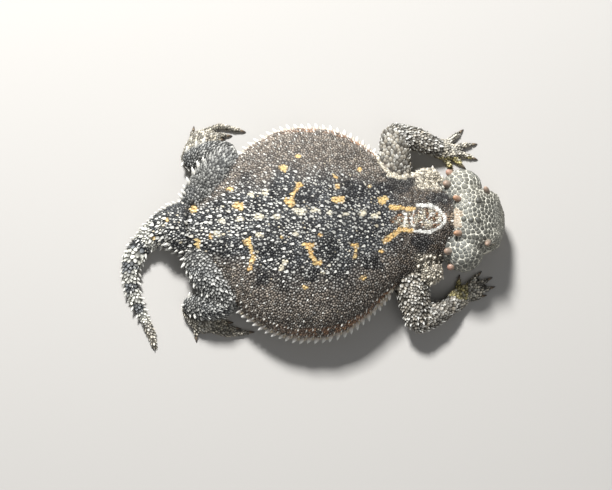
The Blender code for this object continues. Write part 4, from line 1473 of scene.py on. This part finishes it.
def add_body_scales(skin, spacing, material):
    """Fine granules of the trunk, neck and belly, with the white-tipped pointed scales among them."""
    large = white_scale_rows(skin)
    spacing = np.where(skin.where("tail_base"), PELVIS_SPACING, spacing)
    fine = spread_out(scattered(skin, spacing, skin.where(*BODY_PARTS), "granule_places"), large)
    fine["random"] = started("granule_specks").random(len(fine["point"]))
    rows = stacked(large, fine)
    turns = own_turns(rows, GRANULE_SIDES, "granule_turns")
    reach = cell_reach(rows, turns, NEIGHBOURS)
    granule = np.arange(len(rows["point"])) >= len(large["point"])
    left = rows["point"][:, 1] >= 0
    for name, half in {"granules_right": granule & ~left, "granules_left": granule & left}.items():
        part = coat_rows(picked(rows, half), "granule_tones")
        fewer = graded("few_specks", edge_share(part["point"]))
        speck = (part["random"] > SPECK_CHANCE) * (1 - SPECK_FLANK * fewer)
        speck = speck * (1 - SPECK_NECK * graded("neck", part["point"][:, 0]))
        part["face"] = laid("speck", part["face"], WHITE, speck)
        scale_mesh(name, part, reach[half], turns[half], GRANULE, material)
    add_pointed("pointed_scales", white_tones(coat_rows(large, "white_tones")), POINTED_SHAPE, material)


def white_tones(rows):
    """Rows of the pointed scales with their colours: white, cream, or gold or brown in the back's marks."""
    chance = rows["random"]
    bright = np.maximum(varied("white", graded("bright_white", chance)), rows["white"])
    gold = np.maximum(rows["yellow"], (chance > GOLD_CHANCE) * STRENGTHS["gold_speck"])
    brown = rows["nuchal"] * (1 - rows["white"]) * graded("nuchal_brown", chance)
    pale = laid("cream", WHITE, CREAM, graded("cream_white", chance))
    yellow = mixed(YELLOW, pale, chance * STRENGTHS["pale_gold"])
    for part, share in {"face": FACE_WHITE, "tip": 1.0}.items():
        rows[part] = mixed(mixed(mixed(rows[part], pale, bright * share), yellow, gold), RED_BROWN, brown)
    return rows


def add_keeled_scales(name, skin, spacing, material):
    """Overlapping keeled scales with pale tips, on the legs or the tail."""
    parts, pale, tones = KEELED_COATS[name]
    rows = spread_out(scattered(skin, spacing, skin.where(*parts), name))
    turns = own_turns(rows, SCALE_SIDES)
    reach = cell_reach(rows, turns, NEIGHBOURS) * (1 + KEEL_OVERLAP * np.maximum(np.cos(turns), 0) ** 3)
    rows = coat_rows(rows, tones)
    shade = started(name).random(len(rows["point"]))
    bright = varied("keel_light", graded("lit", rows["face"].mean(axis=1)))
    rows["tip"] = mixed(rows["face"] * KEEL_LIGHT, WHITE, pale * varied("keel_tip", shade) * bright)
    rows["face"] = laid("keel", rows["face"], WHITE, (shade > KEEL_CHANCE) * bright)
    # Deeper painted shade at the edges of the overlapping keeled scales.
    rows["edge"] = rows["edge"] * KEEL_EDGE
    rows["height"], rows["lean"] = rows["spacing"] * KEEL_HEIGHT, rows["spacing"] * KEEL_LEAN
    scale_mesh(name, rows, reach, turns, KEELED, material, smooth=False)


def labial_rows(skin, tree):
    """Rows for the line of larger scales above and below the mouth."""
    places = []
    for rise in LABIAL_RISES:
        last = None
        for turn in np.linspace(-MOUTH_TURN, MOUTH_TURN, MOUTH_STEPS):
            way = Vector((math.cos(turn), math.sin(turn), 0))
            place = Vector((MOUTH_MIDDLE, HEAD_LINE, MOUTH_LINE[1][1] + rise))
            for _ in range(2):
                hit = tree.ray_cast(place, way)[0]
                place.z = mouth_rise(hit.x) + rise
            if last is None or (hit - last).length > LABIAL:
                places.append(tuple(hit))
                last = hit
    return nearest_on_skin(tree, skin, np.array(places), LABIAL)


def add_head_plates(skin, tree, spacing, material):
    """Bony plates of the head, grey-green in a pale net, with small ones round the eyes and on the throat."""
    allowed = skin.where(*HEAD_PARTS) & (nostril_distance(skin.points) > NOSTRIL_RADIUS * NOSTRIL_CLEAR)
    allowed &= (np.abs(mouth_height(skin.points)) > MOUTH_CLEAR) | (skin.points[:, 0] < MOUTH_CORNER)
    domes = stacked(on_photo(skin, DOMES, ["head"]), labial_rows(skin, tree))
    rows = scattered(skin, spacing, allowed, "plate_places")
    generator = started("plate_sizes")
    rows["spacing"] = rows["spacing"] * drawn("plate_size", generator, len(rows["point"]))
    rows = stacked(domes, spread_out(rows, domes))
    turns = own_turns(rows, PLATE_SIDES)
    reach = cell_reach(rows, turns, PLATE_NEIGHBOURS, PLATE_MOST)
    rows = coat_rows(rows, "plate_tones")
    point, count = rows["point"], len(rows["point"])
    dome = np.arange(count) < len(DOMES)
    under = 1 - graded("plate_under", rows["normal"][:, 2])
    nape = spot_cover(photo_place(point), NAPE_PATCH, 0)
    net = PLATE_NET * drawn("net", generator, (count, 1))
    middle = graded("crown", point[:, 0]) * (1 - graded("crown_side", np.abs(point[:, 1] - HEAD_LINE)))
    light = 1 - CROWN_DIM * middle + SNOUT_LIGHT * graded("snout", point[:, 0])
    light = light * np.where(dome, DOME_LIGHT, drawn("plate_light", generator, count))
    rows["face"] = rows["edge"] / EDGE_SHADE * light[:, None]
    rows["edge"] = laid("nape_net", mixed(net, BELLY, under), NAPE_TAN, nape)
    rows["tip"] = rows["face"] * PLATE_TOP
    height = PLATE_LEAST + rows["spacing"] * np.where(dome, DOME_HEIGHT, PLATE_HEIGHT)
    rows["height"] = height * (1 - NAPE_FLAT * nape)
    scale_mesh("head_plates", rows, reach, turns, PLATE, material)


def add_spines(name, rows, aim, length, width, colours, material, flat=0.0):
    """Curved spines from a root just inside the skin along the aim, in the colours of their root and tip."""
    root, tip = [np.tile(colour, (len(length), 1)) for colour in colours]
    rows = dict(rows, point=rows["point"] - aim * SPINE_ROOT, normal=aim, lie=flattened(rows["lie"], aim))
    rows.update(height=length + SPINE_ROOT, lean=length * SPINE_LEAN)
    rows.update(edge=root, face=mixed(root, tip, 0.5), tip=tip)
    turns = own_turns(rows, SCALE_SIDES)
    scale_mesh(name, rows, narrow_reach(width, turns, flat), turns, SPINE, material, 0)


def add_fringe(skin, tree, material):
    """The fringe of flat spines along both edges of the trunk, with small ones between and two rows inside."""
    generator = started("fringe")
    root = mixed(RUST, GREY_BROWN, 0.5)
    ends = sorted(FRINGE, key=lambda pair: (pair[1][1] > 0, pair[1][0]))
    tips, roots = [np.array(places) for places in zip(*ends)]
    rows = nearest_on_skin(tree, skin, roots)
    ways = tips - rows["point"]
    length = np.linalg.norm(ways, axis=1) * drawn("fringe_large", generator, len(tips))
    width = np.full(len(tips), FRINGE_WIDTH)
    add_spines("fringe_spines", rows, unit(ways), length, width, (root, WHITE), material, FRINGE_FLAT)
    near = np.linalg.norm(np.diff(roots, axis=0), axis=1) < FRINGE_GAP
    for name, (lift, share) in SMALL_FRINGE.items():
        middle = ((roots[1:] + roots[:-1]) / 2)[near] + [0, 0, lift]
        aims = unit(((tips - roots)[1:] + (tips - roots)[:-1])[near] + [0, 0, lift])
        length = FRINGE_LENGTH * share * drawn("fringe_small", generator, len(middle))
        rows = nearest_on_skin(tree, skin, middle)
        add_spines(name, rows, aims, length, length * SLENDER, (root, CREAM), material, SMALL_FRINGE_FLAT)
    inward = np.array([0, -1.0, 0]) * np.sign(roots[:, 1])[:, None]
    inner = np.concatenate([roots + inward * inside + [FRINGE_AHEAD, 0, up] for inside, up in FRINGE_ROWS])
    rows = nearest_on_skin(tree, skin, inner)
    side = np.sign(rows["point"][:, 1])[:, None] * np.array([0, 1.0, 0])
    aim = unit(rows["normal"] * FRINGE_AIM[0] + side * FRINGE_AIM[1] + rows["lie"] * FRINGE_AIM[2])
    length = drawn("fringe_rows", generator, len(inner))
    colours = (mixed(GREY_BROWN, CREAM, FRINGE_ROW_PALE), WHITE)
    add_spines("fringe_rows", rows, aim, length, length * SLENDER, colours, material)


def add_leg_spikes(skin, material):
    """Larger white-tipped scales that stand up among the small ones of the legs."""
    top = skin.where(*SPIKED) & (skin.normals[:, 2] > 0)
    apart = varied("spike_apart", noise(skin.points, "spike"))
    rows = spread_out(scattered(skin, apart, top, "leg_spikes"))
    rows["spacing"] = drawn("spike_size", started("leg_spikes"), len(rows["point"]))
    rows = coat_rows(rows, "spike_tones")
    rows["tip"] = np.tile(WHITE, (len(rows["point"]), 1))
    rows["face"] = mixed(rows["face"], WHITE, varied("spike_white", graded("lit", rows["face"].mean(axis=1))))
    add_pointed("leg_spikes", rows, SPIKE_SHAPE, material)


def add_leaning(name, rows, length, shape, colours, material):
    """Spines that aim by the shape's shares of the normal and the lie, as wide as their length asks."""
    stand, lean, width = shape
    aim = unit(rows["normal"] * stand + rows["lie"] * lean)
    add_spines(name, rows, aim, length, length * width + SPINE_LEAST, colours, material)


def add_rear_spines(skin, material):
    """Long white spines behind the thighs, on the hips and arms, and along the sides of the tail."""
    colours = (mixed(LEG_GREY, CREAM, REAR_PALE), WHITE)
    for name, (parts, floor, ahead, apart, shortest, longest) in REAR_SPINES.items():
        allowed = skin.where(*parts) & (np.abs(skin.normals[:, 2]) < SPINE_LEVEL)
        allowed &= (skin.points[:, 2] > floor) & (skin.normals[:, 0] < ahead)
        rows = spread_out(scattered(skin, np.full(len(skin.points), apart), allowed, name))
        length = between(shortest, longest, started(name).random(len(rows["point"])) ** REAR_POWER)
        if name == "tail_spines":
            length *= 1 - TAIL_SPINE_FADE * graded("tail_spine_side", rows["point"][:, 1])
        add_leaning(name, rows, length, REAR_SHAPE, colours, material)


def add_neck_spines(skin, material):
    """Pale soft spines that cover the folds at the sides of the neck."""
    facing = skin.normals[:, 2]
    side = (np.abs(skin.points[:, 1] - BODY_MIDDLE) > NECK_SPINE_SIDE) & (skin.points[:, 0] > NECK_SPINE_FRONT)
    side &= facing > NECK_SPINE_UNDER
    marked = (streak_cover(skin.photo, FOLD_STREAKS, 0) > FOLD_EDGE) & (facing > FOLD_FACING)
    allowed = skin.where("trunk", "neck") & (side | marked)
    rows = spread_out(scattered(skin, np.full(len(skin.points), NECK_SPINE_APART), allowed, "neck_spines"))
    length = drawn("neck_spines", started("neck_spines"), len(rows["point"]))
    colours = (mixed(GREY_BROWN, CREAM, 0.5), mixed(CREAM, WHITE, NECK_SPINE_PALE))
    add_leaning("neck_spines", rows, length, NECK_SPINE_SHAPE, colours, material)


def add_spike(name, node, aim, kind, colours, material):
    """A horn or claw that fills the node it replaces, along its aim."""
    sides, profile, bend, share = SPIKES[kind]
    points = solid_copy(node)[0]
    aim = unit(np.array(aim, float))
    middle = points.mean(axis=0)
    heights = (points - middle) @ aim
    away = np.linalg.norm(points - middle - heights[:, None] * aim, axis=1)
    down = np.array([0, 0, -1.0]) + aim * aim[2]
    lie = unit(down) if bend else unit(np.cross(aim, [0, 0, 1.0]))
    rows = {
        "point": middle + aim * (heights.min() - SPINE_ROOT), "normal": aim, "lie": lie, "lean": bend,
        "height": np.ptp(heights) + SPINE_ROOT, "spacing": 1.0, "edge": colours[0], "tip": colours[1],
        "face": mixed(*colours, 0.5)[0], "bake": (0.5, 0.5),
    }
    rows = {word: np.array([value]) for word, value in rows.items()}
    turns = own_turns(rows, sides)
    made = scale_mesh(name, rows, np.full((1, sides), away.max() * share), turns, profile, material, 0)
    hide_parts(node)


def add_horns(word, side, material):
    """The four horns of one side of the head."""
    for kind, ((x, y, z), *colours) in HORNS.items():
        add_spike(f"horn_{kind}_{word}", f"{kind}_{word}", (x, side * y, z), "horn", colours, material)


def add_claws(word, material):
    """The ten claws of one side, each along its own node and away from its hand or foot."""
    for limb in ENDS:
        for number in range(1, DIGITS + 1):
            node = f"claw_{limb}_{word}_{number}"
            aim = long_axis(node, centre(node) - centre(f"{limb}_{word}"))
            add_spike(f"nail_{node}", node, aim, "claw", (CLAW_ROOT, CLAW_DARK), material)


def eye_tones(tilts, turns):
    """Colours of the eye's rings: a gold-streaked iris round a dark pupil."""
    streak = noise(np.stack([np.cos(turns), np.sin(turns), turns * 0], axis=1) * IRIS_STREAKS, "iris")
    tones = [[PUPIL]]
    for tilt in tilts:
        iris = mixed(IRIS, IRIS_GOLD, streak * graded("iris_glow", tilt))
        tones.append(mixed(PUPIL, iris, graded("pupil", tilt) * (1 - graded("iris_end", tilt))))
    return np.concatenate([*tones, [PUPIL]])


def add_eyes(material):
    """Both eyes: a wet ball with a gold iris and a dark round pupil."""
    bands = EYE_SIDES // 2
    turns = round_turns(EYE_SIDES)
    tilts = ((np.arange(bands + 1) / bands) ** EYE_CROWDING * math.pi)[1:-1]
    tones = eye_tones(tilts, turns)
    rings = ring_faces(EYE_SIDES, [(k, k + 1) for k in range(bands - 2)])
    faces = [[index + 1 for index in loop[::-1]] for loop in rings]
    last = len(tones) - 1
    for k in range(EYE_SIDES):
        after = (k + 1) % EYE_SIDES
        faces += [[0, 1 + k, 1 + after], [last - EYE_SIDES + after, last - EYE_SIDES + k, last]]
    sizes = np.array([len(face) for face in faces])
    for word, side in SIDES.items():
        place, out, forward, down = eye_axes(side)
        spread = np.cos(turns)[:, None] * forward + np.sin(turns)[:, None] * down
        rings = [place + EYE_RADIUS * (math.cos(tilt) * out + math.sin(tilt) * spread) for tilt in tilts]
        points = np.concatenate([[place + out * EYE_RADIUS], *rings, [place - out * EYE_RADIUS]])
        made = coat_object(f"ball_eye_{word}", points, np.concatenate(faces), sizes, tones, None, material)
        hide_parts(f"eye_{word}")


def add_floor():
    """A plain pale floor."""
    mesh = bpy.data.meshes.new("floor")
    half = FLOOR_HALF * MM
    corners = [(-half, -half, 0), (half, -half, 0), (half, half, 0), (-half, half, 0)]
    mesh.from_pydata(corners, [], [(0, 1, 2, 3)])
    material = bpy.data.materials.new("floor")
    material.use_nodes = True
    surface = material.node_tree.nodes["Principled BSDF"]
    surface.inputs["Base Color"].default_value = FLOOR_COLOUR
    surface.inputs["Roughness"].default_value = FLOOR_ROUGHNESS
    mesh.materials.append(material)
    made = bpy.data.objects.new("floor", mesh)
    bpy.context.scene.collection.objects.link(made)


def add_aimed(name, data, place):
    """A lamp or camera at its place, turned towards the middle of the body."""
    made = bpy.data.objects.new(name, data)
    made.location = Vector(place) * MM
    made.rotation_euler = (Vector(TARGET) - Vector(place)).to_track_quat("-Z", "Y").to_euler()
    bpy.context.scene.collection.objects.link(made)
    return made


def add_studio():
    """Soft light from the left side of the body, weak light all round, and the camera."""
    for name, (place, size, power) in LIGHTS.items():
        lamp = bpy.data.lights.new(name, "AREA")
        lamp.size = size * MM
        lamp.energy = power
        add_aimed(name, lamp, place)
    world = bpy.data.worlds.new("studio")
    world.use_nodes = True
    sky = world.node_tree.nodes["Background"]
    sky.inputs["Color"].default_value = SKY_COLOUR
    sky.inputs["Strength"].default_value = SKY_STRENGTH
    bpy.context.scene.world = world
    camera = bpy.data.cameras.new("camera")
    camera.lens = LENS
    camera.sensor_width = SENSOR
    camera.clip_start = CLIP_START
    bpy.context.scene.camera = add_aimed("camera", camera, CAMERA_PLACE)
    bpy.context.scene.view_settings.view_transform = "Standard"


def main():
    """The skin first, then the coat on it by parts, the separate pieces and the studio."""
    skin = Surface(*flesh_surface())
    sculpted(skin)
    skin.bake = bake_places(skin)
    tree = search_tree(skin.points, skin.faces.tolist())
    material = {name: toned_material(name, *values) for name, values in MATERIALS.items()}
    add_skin(skin, material["skin"])
    spacing = scale_spacing(skin)
    add_body_scales(skin, spacing, material["scales"])
    for name in KEELED_COATS:
        add_keeled_scales(name, skin, spacing, material["scales"])
    add_head_plates(skin, tree, spacing, material["plates"])
    add_fringe(skin, tree, material["spines"])
    add_rear_spines(skin, material["spines"])
    add_leg_spikes(skin, material["scales"])
    add_neck_spines(skin, material["spines"])
    for word, side in SIDES.items():
        add_horns(word, side, material["horns"])
        add_claws(word, material["claws"])
    add_eyes(material["eyes"])
    add_floor()
    add_studio()


# What is read from the frame: the nodes of the flesh, the head's middle line, and the fringe with its edges.
FLESH = flesh_nodes()
REGIONS = list(FLESH)
HEAD_LINE = centre("head")[1]
FRINGE = fringe_tips()
TRUNK_EDGE = trunk_edges(FRINGE)

main()
